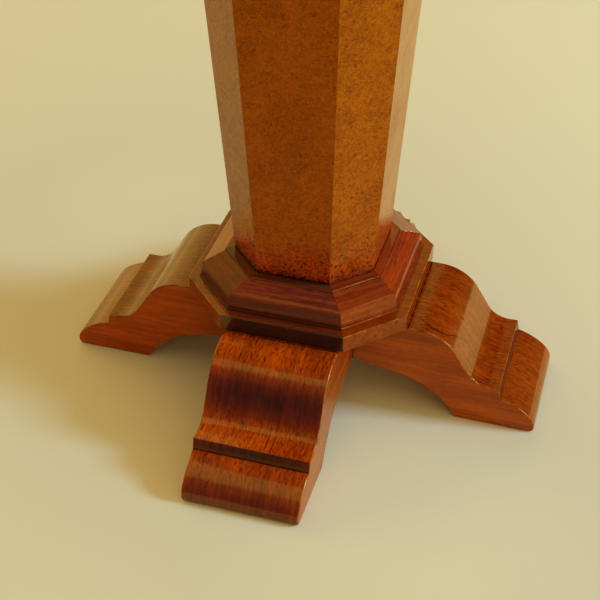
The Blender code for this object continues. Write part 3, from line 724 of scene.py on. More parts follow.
outline = foot_outline()
reach_along = path_lengths(outline)
across_foot = [(-1.0, turn) for turn in ARRIS_TURNS]
across_foot += [(across, 0) for across in BETWEEN_ARRISES]
across_foot += [(1.0, turn) for turn in reversed(ARRIS_TURNS)]
for turn, side in enumerate(FEET):
    arris = []
    cut = []
    dirt = []
    for index, (reach, height) in enumerate(outline):
        past_step = reach - FOOT_REACH + NOSE_LENGTH
        on_step = abs(past_step) < STEP_ZONE
        waves = rub_wave(RUB_ALONG, reach, turn) + rub_wave(RUB_UP, height, turn)
        arris.append(STEP_END_ARRIS if on_step else FOOT_ARRIS * (1.0 + waves))
        steepness = max(abs(edge.y) for edge in edges_at(outline, index))
        drinking = min(1.0, max(0.0, (steepness - STEEP_STARTS) / STEEP_SPAN))
        if past_step > STEP_SHADE:
            drinking *= NOSE_STAIN
        elif not on_step:
            drinking *= max(0.0, 1.0 - ((height - SLOPE_MIDDLE) / SLOPE_DARK_HALF) ** 2)
        stain = END_GRAIN_STAIN_AND_SHADE[side]
        cut.append(drinking * (max(STEP_STAIN, stain) if on_step else stain))
        in_corner = abs(past_step) < SAME_PLACE and height == NOSE_HEIGHT
        # the line along the plinth's edge is a painted shadow
        in_plinth_shadow = reach == SEAT_EDGE and height == FOOT_HEIGHT
        dirt.append(SEAT_SHADOW if in_plinth_shadow else CORNER_DIRT_AND_SHADE if in_corner else 0.0)
    rings = []
    for across, degrees in across_foot:
        angle = math.radians(degrees)
        flat = math.cos(angle)
        edge_share = 1.0 - EDGE_FADE * across**4
        rounded = drawn_in(outline, [radius * (1 - flat) for radius in arris])
        ring = []
        for index, (reach, height) in enumerate(rounded):
            width = across * (FOOT_WIDTH / 2 - arris[index] * (1 - math.sin(angle)))
            place = Vector((reach, width, height))
            unrolled = Vector((reach_along[index], width, 0.0)) + PLANK_SPACING * turn
            marks = (math.sin(2 * angle), dirt[index] * flat, cut[index] * edge_share * flat)
            ring.append(Spot(place, unrolled, place + PLANK_SPACING * turn, *marks))
        rings.append(ring)
    foot = skin(f"foot_{side}", rings)
    foot.rotation_euler.z = turn * QUARTER_TURN
    light = toned(FOOT_LIGHT, FOOT_TONES_AND_SHADE[side])
    dark = toned(FOOT_DARK, FOOT_TONES_AND_SHADE[side])
    foot_top = polished_timber(
        f"polished_foot_{side}_top", light, dark, FOOT_DASHES,
        ends=END_GRAIN_COLOURS[side], marks_and_shade=cracked if side == "right" else None,
    )
    side_tone = SIDE_TONES.get(side, 1.0)
    side_light = toned(SIDE_LIGHT, side_tone)
    side_dark = toned(SIDE_DARK, side_tone)
    foot_side = polished_timber(f"polished_foot_{side}_side", side_light, side_dark, SIDE_DASHES)
    step_face = polished_timber(
        f"dull_foot_{side}_step", light, dark, FOOT_DASHES, marks_and_shade=browned_step, shine=STEP_SHINE,
    )
    fit(foot, f"foot_{side}", "polished_mahogany", foot_top, foot_side, step_face)
    for face in foot.data.polygons:
        if face.normal.x > STEP_FACING and face.center.z > NOSE_HEIGHT:
            face.material_index = STEP_FACES

# Hub block
# The square block in the middle, which the feet are tenoned into. It is plain softwood, stained thinly
# and left dull, and it shows only from underneath.
DEAL_LIGHT = (0.430, 0.235, 0.100)
DEAL_DARK = (0.270, 0.125, 0.045)
DEAL_PORE = (0.140, 0.060, 0.022)
DEAL_DASHES = 0.25
DEAL_GLOSS = (0.55, 0.75)
DEAL_PORE_DEPTH = 0.3


def bare_timber(name, upright):
    """Softwood that was never polished. Its grain runs up the piece, or along X."""
    material, tree = new_material(name)
    place = object_place(tree)
    if upright:
        axes = axes_of(tree, place)
        turned = {"X": axes["Z"], "Y": axes["X"], "Z": axes["Y"]}
        place = put(tree, "ShaderNodeCombineXYZ", turned).outputs["Vector"]
    figure = place_group(tree, plank, {
        "Place": place, "Light": DEAL_LIGHT, "Dark": DEAL_DARK, "Pore": DEAL_PORE, "Dashes": DEAL_DASHES,
    })
    close_material(tree, {
        "Base Color": figure["Colour"],
        "Roughness": roughness_of(tree, place, DEAL_GLOSS),
        "Normal": pitted(tree, figure["Pores"], DEAL_PORE_DEPTH),
    })
    return material


def refinish(node, material):
    """Gives a CAD node that stays as it is a better material."""
    for material_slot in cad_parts[node].material_slots:
        material_slot.material = material


flat_deal = bare_timber("bare_deal", upright=False)
refinish("hub_block", flat_deal)

# Plinth board
# One canted board of mahogany with its edges just eased, lying across the four feet and screwed to
# them. The pillar's spigot goes down through its middle.
MITRE = math.tan(math.radians(22.5))  # side half lost for each unit of inset
JOINT_GAP = 0.0003
PLINTH_HALF = 0.0922
PLINTH_SIDE_HALF = 0.0508
PLINTH_THICK = 0.0147
PLINTH_BOTTOM = FOOT_HEIGHT + JOINT_GAP
PLINTH_TOP = PLINTH_BOTTOM + PLINTH_THICK
PLINTH_ARRIS = 0.0009
PLINTH_PLANK = 5  # planks are counted from the right foot's
CORNER_ROUND = 0.0008
DIRT_AND_SHADE_REACH = 0.0006
ROUND_WEAR = (0.0, 0.8, 1.0, 0.8, 0.0)
SIDES = ("front", "front_right", "right", "back_right", "back", "back_left", "left", "front_left")
BOARD_TONE = 0.64
BOARD_LIGHT = toned(FOOT_LIGHT, BOARD_TONE)
BOARD_DARK = toned(FOOT_DARK, BOARD_TONE)
BOARD_DASHES = 0.45
# Painted shade on the plinth's front side and the front of its top.
PLINTH_FRONT_SHADE = (0.018, 0.009, 0.013)
FRONT_SHADE_RAGGED = Pattern(90.0, 3.0)
FRONT_SHADE_RAGGED_REACH = 0.0006
FRONT_SHADE_CORNER_REACH = 0.0012
FRONT_SHADE_ON_TOP = 0.55
FRONT_SHADE_TOP_STARTS = PLINTH_TOP - 0.00002
FRONT_SHADE_TOP_FULL = PLINTH_TOP - 0.0001
FRONT_SHADE_LEFT_REACH = 0.014
FRONT_SHADE_LEAST = 0.60
FRONT_SHADE_MORE = 0.36


def inset(plan, distance):
    """A canted plan moved in by the same distance on every side. A plan is (half, side half)."""
    half, side_half = plan
    return half - distance, side_half - distance * MITRE


def corners(plan, z):
    """The eight corners of a canted plan, from the left end of the front side."""
    half, side_half = plan
    ring = []
    for turn in range(4):
        rotation = Matrix.Rotation(turn * QUARTER_TURN, 3, "Z")
        for x in (-side_half, side_half):
            ring.append(rotation @ Vector((x, -half, z)))
    return ring


def section(*marks):
    """An outline with its arrises rounded and its corners marked for dirt and painted shade, from (x, y,
    round, dirt and shade).
    """
    points = []
    wear = []
    dirt = []
    for index, (x, y, rounding, dirt_and_shade_share) in enumerate(marks):
        before = marks[index - 1]
        after = marks[(index + 1) % len(marks)]
        if rounding:
            points += rounded_corner(before, (x, y), after, rounding)
            wear += ROUND_WEAR
            dirt += [0.0] * len(ROUND_WEAR)
        elif dirt_and_shade_share:
            for end, share in ((before, 0.0), (None, dirt_and_shade_share), (after, 0.0)):
                here = Vector((x, y))
                if end:
                    way = Vector(end[:2]) - here
                    here += way.normalized() * min(DIRT_AND_SHADE_REACH, way.length / 2)
                points.append((here.x, here.y))
                wear.append(0.0)
                dirt.append(share)
        else:
            points.append((x, y))
            wear.append(0.0)
            dirt.append(0.0)
    return points, wear, dirt


def canted_body(plan, base, marked, offset):
    """A stack of canted rings whose sides follow a section of (depth, height) upwards from a level."""
    rings = []
    for (depth, height), wear, dirt in zip(*marked):
        ring = []
        sharp = corners(inset(plan, depth), base + height)
        for index, corner in enumerate(sharp):
            before = sharp[index - 1]
            after = sharp[(index + 1) % len(sharp)]
            for x, y in rounded_corner(before, corner, after, CORNER_ROUND):
                place = Vector((x, y, corner.z))
                ring.append(Spot(place, place + offset, place + offset, wear, dirt))
        rings.append(ring)
    return rings


def painted_front_shade(tree, colour):
    """Painted shade: the front side darkened, ragged at the corners, heavier at the left end and thinner on
    the top.
    """
    place = object_place(tree)
    axes = axes_of(tree, place)
    ragged = times(tree, noise(tree, place, FRONT_SHADE_RAGGED), FRONT_SHADE_RAGGED_REACH)
    aside = calculate(tree, "ABSOLUTE", axes["X"], 0.0)
    past_corner = plus(tree, times(tree, axes["Y"], MITRE), aside, ragged)
    corner_line = PLINTH_SIDE_HALF - PLINTH_HALF * MITRE
    front = ramp(tree, past_corner, corner_line + FRONT_SHADE_CORNER_REACH, corner_line)
    upright = ramp(tree, axes["Z"], FRONT_SHADE_TOP_STARTS, FRONT_SHADE_TOP_FULL)
    left_end = ramp(tree, axes["X"], -PLINTH_SIDE_HALF, -PLINTH_SIDE_HALF + FRONT_SHADE_LEFT_REACH)
    thickness = plus(tree, times(tree, left_end, FRONT_SHADE_MORE), FRONT_SHADE_LEAST)
    share = times(tree, front, larger(tree, upright, FRONT_SHADE_ON_TOP), thickness)
    return mix_colour(tree, share, colour, PLINTH_FRONT_SHADE)


plinth_finish = polished_timber(
    "polished_plinth", BOARD_LIGHT, BOARD_DARK, BOARD_DASHES, marks_and_shade=painted_front_shade,
)
plinth_outline = section(
    (0.0, 0.0, PLINTH_ARRIS, 0.0),
    (0.0, PLINTH_THICK, PLINTH_ARRIS, 0.0),
    (PLINTH_HALF / 2, PLINTH_THICK, 0.0, 0.0),
    (PLINTH_HALF / 2, 0.0, 0.0, 0.0),
)
plinth_edge = [marks[:-1] for marks in plinth_outline]  # the board is solid, so the last point is left out
plinth_plan = (PLINTH_HALF, PLINTH_SIDE_HALF)
plinth_body = canted_body(plinth_plan, PLINTH_BOTTOM, plinth_edge, PLANK_SPACING * PLINTH_PLANK)
fit(skin("plinth_board", plinth_body), "plinth_board", "polished_mahogany", plinth_finish, plinth_finish)

# Base moulding
# Eight strips of mahogany, run to a fillet, a rounded shoulder, a slope and a seat, mitred at every
# corner and glued down on the plinth round the pillar's foot. Their quirks are darkened with dirt and
# painted shade.
COLUMN_FOOT = (0.0569, 0.0292)  # plans of the pillar's ends
COLUMN_HEAD = (0.0897, 0.0460)
COLUMN_BOTTOM = PLINTH_TOP + JOINT_GAP
COLUMN_TOP = 0.6074
MOULDING_WIDTH = 0.0254
MOULDING_HEIGHT = 0.0222
MOULDING_TOP = COLUMN_BOTTOM + MOULDING_HEIGHT
BASE_FILLET_HEIGHT = 0.0018
BASE_FILLET_STEP = 0.0010
BASE_FILLET_TOP = COLUMN_BOTTOM + BASE_FILLET_HEIGHT
FACE_HEIGHT = 0.0090
FACE_LEAN = 0.0010
SHOULDER_RADIUS = 0.0060
SEAT_FILLET_HEIGHT = 0.0018
SEAT_WIDTH = 0.0068
LEDGE_WIDTH = 0.0082
FILLET_ARRIS = 0.0004
MITRE_EASE = 0.00006
MITRE_GAP = 0.00008
STRIP_RINGS = (  # end, how far it is cut back, and how far it is drawn in
    (0, 0.0, MITRE_EASE),
    (0, MITRE_EASE, 0.0),
    (1, MITRE_EASE, 0.0),
    (1, 0.0, MITRE_EASE),
)
MOULDING_PLANK = 6
MOULDING_LIGHT = (0.600, 0.080, 0.008)
MOULDING_DARK = (0.160, 0.012, 0.008)
MOULDING_DASHES = 0.35
# Tones of the front strips; the front strip's bluer tone is painted reflection.
MOULDING_TONES_AND_REFLECTION = {"front": (0.86, 1.30, 2.6), "front_left": (0.66, 0.44, 0.50), "front_right": 0.88}
PAINTED_EDGE_HIGHLIGHT = (0.560, 0.470, 0.270)  # painted highlight along the arrises, where the window would glint
# The front-right strip's arrises carry a painted highlight; the front, front-left and right strips' arrises
# are darkened.
ARRIS_COLOURS_AND_HIGHLIGHT = {"front": DIRT_AND_SHADE_COLOUR, "front_left": DIRT_AND_SHADE_COLOUR, "front_right": PAINTED_EDGE_HIGHLIGHT, "right": DIRT_AND_SHADE_COLOUR}
STRIP_SHINE = {"front": 0.20, "front_left": 0.32}  # the polish is duller on the front strips
# Painted shade on the front strips: the face below the shoulder, the seat and the fillet are darkened in
# streaks.
PAINTED_FACE_SHADE = (0.100, 0.010, 0.024)
PAINTED_SEAT_SHADE = (0.088, 0.024, 0.014)
FACE_SHADE_HEIGHTS = (COLUMN_BOTTOM + 0.0130, COLUMN_BOTTOM + 0.0100)  # heights where the painted shade starts and is full
FILLET_SHADE_HEIGHTS = (BASE_FILLET_TOP + 0.0016, BASE_FILLET_TOP + 0.0004)
SEAT_SHADE_HEIGHTS = (MOULDING_TOP - 0.0004, MOULDING_TOP - 0.0001)
SHADE_STREAK = Grain(12.0, 420.0, 3.0, 0.40, 0.62, 0.40)
SHADE_THINNEST = 0.50
SHOULDER_HIGHLIGHT = COLUMN_BOTTOM + 0.0140  # middle of a painted highlight along the shoulder, where the ceiling is reflected
SHOULDER_HIGHLIGHT_HALF = 0.0008
SHOULDER_HIGHLIGHT_SHARE = 0.7
PAINTED_SHOULDER_HIGHLIGHT = (0.300, 0.090, 0.010)


def column_plan(z):
    """Outside of the pillar's veneer at a height."""
    share = (z - COLUMN_BOTTOM) / (COLUMN_TOP - COLUMN_BOTTOM)
    return tuple(foot + share * (head - foot) for foot, head in zip(COLUMN_FOOT, COLUMN_HEAD))


def strip_body(side, marked, level_of, plank_number, across_grain=False):
    """One side of a canted frame, from its section, with its ends eased so that the mitres show."""
    points, wear, dirt = marked
    distance_round = path_lengths(points)
    offset = PLANK_SPACING * (plank_number + side)
    rings = []
    for at_end, ease, draw in STRIP_RINGS:
        ring = []
        for index, (depth, height) in enumerate(drawn_in(points, [draw] * len(points))):
            plan, z = level_of(depth, height)
            frame_corners = corners(plan, z)
            start = frame_corners[side]
            end = frame_corners[(side + 1) % len(frame_corners)]
            along = (end - start).normalized()
            trim = along * (MITRE_GAP + ease)
            place = end - trim if at_end else start + trim
            run = (place - (start + end) / 2).dot(along)
            turned = (depth, run, 0.0) if across_grain else (run, distance_round[index], 0.0)
            grain = Vector(turned) + offset
            ring.append(Spot(place, grain, grain, wear[index], dirt[index]))
        rings.append(ring)
    return rings


def straight(points):
    """Points of a plain curve, ready for a section."""
    return [(x, y, 0.0, 0.0) for x, y in points]


moulding_back = inset(column_plan(MOULDING_TOP), -JOINT_GAP)
moulding_front = inset(plinth_plan, LEDGE_WIDTH)


def moulding_level(depth, height):
    """The moulding's corners run straight in plan from the plinth's ledge to the pillar."""
    share = depth / MOULDING_WIDTH
    side_half = moulding_front[1] + share * (moulding_back[1] - moulding_front[1])
    return (moulding_front[0] - depth, side_half), COLUMN_BOTTOM + height


def shade_strip_face(tree, colour):
    """Painted shade in dark streaks on a strip's seat and fillet, and on its face below the shoulder."""
    height = axes_of(tree, object_place(tree))["Z"]
    shade_streaks = times(tree, streaks(tree, attribute(tree, "grain", "Vector"), SHADE_STREAK), SHADE_STREAK.share)
    thickness = plus(tree, shade_streaks, SHADE_THINNEST)
    below = times(tree, ramp(tree, height, *FACE_SHADE_HEIGHTS), thickness)
    colour = mix_colour(tree, below, colour, PAINTED_FACE_SHADE)
    browner = larger(tree, ramp(tree, height, *SEAT_SHADE_HEIGHTS), ramp(tree, height, *FILLET_SHADE_HEIGHTS))
    return mix_colour(tree, times(tree, browner, thickness), colour, PAINTED_SEAT_SHADE)


def shade_and_highlight_strip_face(tree, colour):
    """The same, with a painted highlight along the shoulder above it."""
    height = axes_of(tree, object_place(tree))["Z"]
    off_line = calculate(tree, "ABSOLUTE", minus(tree, height, SHOULDER_HIGHLIGHT), 0.0)
    line = times(tree, ramp(tree, off_line, SHOULDER_HIGHLIGHT_HALF, 0.0), SHOULDER_HIGHLIGHT_SHARE)
    return mix_colour(tree, line, shade_strip_face(tree, colour), PAINTED_SHOULDER_HIGHLIGHT)


FACE_SHADE_AND_HIGHLIGHT = {"front": shade_and_highlight_strip_face, "front_left": shade_strip_face}
shoulder = (BASE_FILLET_STEP + FACE_LEAN + SHOULDER_RADIUS, FACE_HEIGHT)
slope_end = (MOULDING_WIDTH - SEAT_WIDTH, MOULDING_HEIGHT - SEAT_FILLET_HEIGHT)
slope_run = slope_end[0] - shoulder[0]
slope_rise = slope_end[1] - shoulder[1]
slope_turn = math.acos(SHOULDER_RADIUS / math.hypot(slope_run, slope_rise))
shoulder_end = math.atan2(slope_rise, slope_run) + slope_turn
moulding_section = section(
    (0.0, 0.0, 0.0, 0.0),
    (0.0, BASE_FILLET_HEIGHT, FILLET_ARRIS, 0.0),
    (BASE_FILLET_STEP, BASE_FILLET_HEIGHT, 0.0, 1.0),
    *straight(arc(shoulder, SHOULDER_RADIUS, math.pi, shoulder_end, MIDDLE_STEP)),
    (*slope_end, 0.0, 1.0),
    (slope_end[0], MOULDING_HEIGHT, FILLET_ARRIS, 0.0),
    (MOULDING_WIDTH, MOULDING_HEIGHT, 0.0, 1.0),
    (MOULDING_WIDTH, 0.0, 0.0, 0.0),
)
for index, side in enumerate(SIDES):
    tone = MOULDING_TONES_AND_REFLECTION.get(side, 1.0)
    light = toned(MOULDING_LIGHT, tone)
    dark = toned(MOULDING_DARK, tone)
    strip_finish = polished_timber(
        f"polished_moulding_{side}", light, dark, MOULDING_DASHES,
        marks_and_shade=FACE_SHADE_AND_HIGHLIGHT.get(side), arris_colour=ARRIS_COLOURS_AND_HIGHLIGHT.get(side, WORN_WOOD),
        shine=STRIP_SHINE.get(side, POLISH_SHINE),
    )
    strip = skin(
        f"base_moulding_{side}", strip_body(index, moulding_section, moulding_level, MOULDING_PLANK),
    )
    fit(strip, f"base_moulding_{side}", "polished_mahogany", strip_finish, strip_finish)

# Pillar's core
# Eight tapered staves of softwood glued edge to edge, closed by a block at each end. The foot block has
# a round spigot that goes down through the plinth and the hub, and a wedge spreads its end.
upright_deal = bare_timber("bare_deal_upright", upright=True)
for side in SIDES:
    refinish(f"column_stave_{side}", upright_deal)
for node in ("column_foot_block", "column_head_block", "spigot_wedge"):
    refinish(node, upright_deal)

# Pillar's veneer
# Eight leaves of burr, one glued on each tapered stave, stained and polished. The stain is darker at
# the foot, where polish and dirt have gathered, and old chips are filled with grey-green wax.
LEAF_THICK = 0.0010
LEAF_ARRIS = 0.0001
LEAF_WEAR = 0.5
VENEER_GAP = 0.00004
LEAF_SPACING = 0.37
BURR_LIGHT = (0.612, 0.121, 0.001)
BURR_DARK = (0.228, 0.012, 0.001)
BURR_EYE = (0.150, 0.006, 0.006)
BURR_TINT = (1.0, 0.90, 0.05)  # several coats of dark shellac
BURR_GLOSS = (0.15, 0.28)
EYE_DEPTH = 0.06
PILLAR_CLOUDS = 0.20
# Tones of some leaves; the front-left leaf's greener tone is painted reflection of the floor at a grazing
# angle.
LEAF_TONES_AND_REFLECTION = {"front": (0.86, 0.65, 1.0), "front_left": (0.95, 1.10, 1.0), "front_right": (0.94, 1.08, 1.0)}
Stain = namedtuple("Stain", "top full ragged scale share")  # a ragged line: its heights and its strength
STAIN_DETAIL = 4.0
STAIN_MIDDLE = 0.5
FOOT_STAIN = Stain(0.172, 0.136, 0.030, 130.0, 0.46)
FOOT_STAIN_DARK = (0.0660, 0.0048, 0.0016)
FOOT_STAIN_LIGHT = (0.9075, 0.0660, 0.0220)
LOW_STAIN = Stain(0.136, 0.118, 0.012, 90.0, 0.68)
LOW_STAIN_DARK = (0.02125, 0.0025, 0.0030)
LOW_STAIN_LIGHT = (0.2720, 0.0320, 0.0384)
SPECK_STAIN = Stain(0.170, 0.132, 0.012, 90.0, 0.9)
SPECKS = Pattern(400.0, 2.0, 0.57, 0.66)
EYE_SPECKS = 0.6
GRIME = Stain(0.1275, 0.1225, 0.020, 260.0, 0.8)
GRIME_SHARES = {"front": 1.0, "front_left": 0.5, "front_right": 0.45}
FOOT_GRIME = {"front": 1.0, "front_left": 1.5, "front_right": 0.80}
OTHER_GRIME = 0.5
Mark = namedtuple("Mark", "leaf across height half_width half_height")
FILLER = (0.090, 0.070, 0.010)
FILLER_SHARE = 0.55
FILLER_MARKS = (
    Mark("front_left", 0.0151, 0.2919, 0.0016, 0.0060),
    Mark("front", 0.0115, 0.3030, 0.0022, 0.0028),
    Mark("front_right", 0.0237, 0.3033, 0.0012, 0.0040),
    Mark("front_right", 0.0209, 0.2215, 0.0016, 0.0014),
    Mark("front_right", -0.0182, 0.1522, 0.0030, 0.0007),
    Mark("front_right", -0.0075, 0.1468, 0.0022, 0.0026),
    Mark("front_right", -0.0069, 0.1547, 0.0020, 0.0022),
)
DARK_EYE_SHARE = 0.8
DARK_EYES = (
    Mark("front", -0.0017, 0.3569, 0.0016, 0.0013),
    Mark("front", -0.0020, 0.3477, 0.0016, 0.0013),
    Mark("front", -0.0022, 0.3415, 0.0010, 0.0009),
)
MARK_WOBBLE = Wobble(420.0, 2.0, (0.004, 0.004, 0.0))
MARK_EDGE = 1.1  # in half sizes from the middle
MARK_CORE = 0.6

# Figure of a burr: swirled and mottled, with eyes that the grain curls round
SWIRL = Wobble(42.0, 2.0, (0.014, 0.014, 0.0))
CURL = Pattern(330.0, 3.0, 0.36, 0.64, 0.55, 0.4)
CURL_SHARE = 0.30
WHORL = Pattern(125.0, 4.0, 0.36, 0.64, 0.6, 1.3)
WHORL_SHARE = 0.24
MOTTLE = Pattern(640.0, 3.0, 0.38, 0.62, 0.6)
MOTTLE_SHARE = 0.34
BASE_TONE = 0.10
DOT = Pattern(330.0, 2.0, 0.56, 0.72)
DOT_SHARE = 0.45
BLOTCH = Pattern(22.0, 3.0, 0.34, 0.66, 0.5, 1.4)
BLOTCH_MIDDLE = 0.5
EYES_PER_METRE = 235.0
EYE_CLUSTER = Pattern(60.0, 2.0, 0.40, 0.62)
EYE_CHANCE = (-0.15, 0.85)
EYE_LARGEST = 0.37  # in cells
EYE_OUTSIDE_CLUSTER = 0.6
EYE_EDGE = (-0.08, 0.14)
EYE_SHARE = 0.64
EYE_RINGS = 42.0  # radians for each cell
RING_EDGE = (0.1, 1.0)
RING_REACH = (0.75, 0.10)
RING_SHARE = 0.22
burr, given, result = group(
    "burr_figure",
    {"Place": "Vector", "Light": "Color", "Dark": "Color", "Eye": "Color", "Clouds": "Float"},
    {"Colour": "Color", "Eyes": "Float", "Tone": "Float"},
)
bent = wobbled(burr, given["Place"], SWIRL)
cells = put(burr, "ShaderNodeTexVoronoi", {"Vector": bent, "Scale": EYES_PER_METRE}).outputs
chance = put(burr, "ShaderNodeSeparateColor", {"Color": cells["Color"]}).outputs["Red"]
clustered = larger(burr, patches(burr, given["Place"], EYE_CLUSTER), EYE_OUTSIDE_CLUSTER)
eye_size = times(burr, ramp(burr, chance, *EYE_CHANCE), EYE_LARGEST, clustered)
eyes = ramp(burr, minus(burr, eye_size, cells["Distance"]), *EYE_EDGE)
waves = calculate(burr, "SINE", times(burr, cells["Distance"], EYE_RINGS), 0.0)
rings_round = times(burr, ramp(burr, waves, *RING_EDGE), ramp(burr, cells["Distance"], *RING_REACH))
blotches = minus(burr, patches(burr, given["Place"], BLOTCH), BLOTCH_MIDDLE)
tone = plus(
    burr,
    times(burr, patches(burr, bent, CURL), CURL_SHARE),
    times(burr, patches(burr, bent, MOTTLE), MOTTLE_SHARE),
    BASE_TONE,
    times(burr, patches(burr, bent, WHORL), WHORL_SHARE),
    times(burr, blotches, given["Clouds"]),
)
tone = minus(burr, tone, times(burr, rings_round, RING_SHARE))
veneer_colour = mix_colour(burr, tone, given["Dark"], given["Light"])
eye_share = larger(burr, times(burr, eyes, EYE_SHARE), times(burr, patches(burr, bent, DOT), DOT_SHARE))
veneer_colour = mix_colour(burr, eye_share, veneer_colour, given["Eye"])
connect(burr, {"Colour": veneer_colour, "Eyes": eyes, "Tone": minus(burr, tone, eye_share)}, result)


def marks_mask(tree, place, side, marks):
    """Where any of a leaf's marks lies."""
    moved = wobbled(tree, place, MARK_WOBBLE)
    mask = 0.0
    for mark in marks:
        if mark.leaf == side:
            centre = (mark.across, mark.height, LEAF_SPACING * SIDES.index(side))
            offset = vectors(tree, "SUBTRACT", moved, centre)
            scaled = vectors(tree, "DIVIDE", offset, (mark.half_width, mark.half_height, JOINT_GAP))
            distance = vectors(tree, "DISTANCE", scaled, (0.0, 0.0, 0.0))
            mask = larger(tree, mask, ramp(tree, distance, MARK_EDGE, MARK_CORE))
    return mask


def burr_finish(name, tone, clouds):
    """The start of a material of stained burr: the figure, which the caller stains and closes."""
    material, tree = new_material(name)
    place = attribute(tree, "grain", "Vector")
    figure = place_group(tree, burr, {
        "Place": place, "Light": toned(BURR_LIGHT, tone), "Dark": toned(BURR_DARK, tone),
        "Eye": BURR_EYE, "Clouds": clouds,
    })
    return material, tree, place, figure


def close_burr(tree, place, figure, colour):
    """The polish on a burr of this colour."""
    close_material(tree, {
        "Base Color": colour_arrises(tree, place, colour, WORN_WOOD)["Colour"],
        "Roughness": roughness_of(tree, place, BURR_GLOSS),
        "Normal": pitted(tree, figure["Eyes"], EYE_DEPTH),
        "Specular Tint": BURR_TINT,
    })


def stained_below(tree, place, colour, dark, stain):
    """A colour darkened below a stain's ragged line, as far as the leaf's own dirt goes."""
    height = axes_of(tree, place)["Y"]
    ragged = minus(tree, noise(tree, place, Pattern(stain.scale, STAIN_DETAIL)), STAIN_MIDDLE)
    line = ramp(tree, plus(tree, height, times(tree, ragged, stain.ragged)), stain.top, stain.full)
    return mix_colour(tree, times(tree, line, attribute(tree, "dirt"), stain.share), colour, dark)


def pillar_finish(side):
    """Burr with the stain, filled chips and grime of one side of the pillar."""
    tone = LEAF_TONES_AND_REFLECTION.get(side, 1.0)
    material, tree, place, figure = burr_finish(f"polished_burr_{side}", tone, PILLAR_CLOUDS)
    stain = mix_colour(tree, figure["Tone"], FOOT_STAIN_DARK, FOOT_STAIN_LIGHT)
    colour = stained_below(tree, place, figure["Colour"], stain, FOOT_STAIN)
    stain = mix_colour(tree, figure["Tone"], LOW_STAIN_DARK, LOW_STAIN_LIGHT)
    colour = stained_below(tree, place, colour, stain, LOW_STAIN)
    near_foot = stained_below(tree, place, colour, DIRT_AND_SHADE_COLOUR, SPECK_STAIN)
    specks = larger(tree, patches(tree, place, SPECKS), times(tree, figure["Eyes"], EYE_SPECKS))
    colour = mix_colour(tree, specks, colour, near_foot)
    eye_marks = times(tree, marks_mask(tree, place, side, DARK_EYES), DARK_EYE_SHARE)
    colour = mix_colour(tree, eye_marks, colour, BURR_EYE)
    filler_marks = times(tree, marks_mask(tree, place, side, FILLER_MARKS), FILLER_SHARE)
    colour = mix_colour(tree, filler_marks, colour, FILLER)
    grime = GRIME._replace(share=GRIME_SHARES.get(side, GRIME.share))
    close_burr(tree, place, figure, stained_below(tree, place, colour, DIRT_AND_SHADE_COLOUR, grime))
    return material


def leaf_body(side, index):
    """One leaf on its stave, thin and flat, with its outer arrises just eased."""
    rings = []
    dirt = FOOT_GRIME.get(side, OTHER_GRIME)
    for z in (COLUMN_BOTTOM, COLUMN_TOP):
        outer = corners(column_plan(z), z)
        inner = corners(inset(column_plan(z), LEAF_THICK), z)
        start = outer[index]
        end = outer[(index + 1) % len(outer)]
        back_start = inner[index]
        back_end = inner[(index + 1) % len(inner)]
        along = (end - start).normalized()
        inward = (back_start + back_end - start - end).normalized()
        middle = (start + end) / 2
        trim = along * VENEER_GAP
        marks = []
        for place, rounding in (
            (start + trim, LEAF_ARRIS),
            (end - trim, LEAF_ARRIS),
            (back_end - trim, 0.0),
            (back_start + trim, 0.0),
        ):
            from_middle = place - middle
            marks.append((from_middle.dot(along), from_middle.dot(inward), rounding, 0.0))
        points, wear, _ = section(*marks)
        ring = []
        for (across, depth), rub in zip(points, wear):
            place = middle + along * across + inward * depth
            grain = Vector((across, z, LEAF_SPACING * index))
            ring.append(Spot(place, grain, grain, rub * LEAF_WEAR, dirt))
        rings.append(ring)
    return rings


for index, side in enumerate(SIDES):
    leaf = skin(f"column_leaf_{side}", leaf_body(side, index))
    leaf_finish = pillar_finish(side)
    fit(leaf, f"column_leaf_{side}", "burr_veneer", leaf_finish, leaf_finish)

# Cap board
# A canted board of mahogany with a cove under a fillet, screwed down on the pillar's head block. The
# top is screwed to it from below.
CAP_OVERHANG = 0.0353
CAP_THICK = 0.0180
CAP_COVE_RADIUS = 0.0110
CAP_FILLET_STEP = 0.0015
CAP_BOTTOM = COLUMN_TOP + JOINT_GAP
CAP_PLANK = 15


def cove(foot, radius):
    """A quarter hollow that starts upright below its foot's (depth, height) and turns outwards."""
    points = arc((0.0, 0.0), radius, math.pi, QUARTER_TURN, MIDDLE_STEP)
    hollow = [(foot[0] - across, foot[1] + height) for across, height in points]
    return [*straight(hollow[:-1]), (*hollow[-1], 0.0, 1.0)]


cap_edge = section(
    *cove((CAP_FILLET_STEP, 0.0), CAP_COVE_RADIUS),
    (0.0, CAP_COVE_RADIUS, FILLET_ARRIS, 0.0),
    (0.0, CAP_THICK, 0.0, 0.0),
    (CAP_COVE_RADIUS, CAP_THICK, 0.0, 0.0),
)
cap_plan = inset(column_plan(COLUMN_TOP), -CAP_OVERHANG)
cap = skin("cap_board", canted_body(cap_plan, CAP_BOTTOM, cap_edge, PLANK_SPACING * CAP_PLANK))
cap_finish = polished_timber("polished_board", BOARD_LIGHT, BOARD_DARK, BOARD_DASHES)
fit(cap, "cap_board", "polished_mahogany", cap_finish, cap_finish)

# Core of the top
# A softwood board under the veneers, grooved for the lippings' tongues. Its underside is bare, and it
# is screwed to the cap.
refinish("top_core", flat_deal)

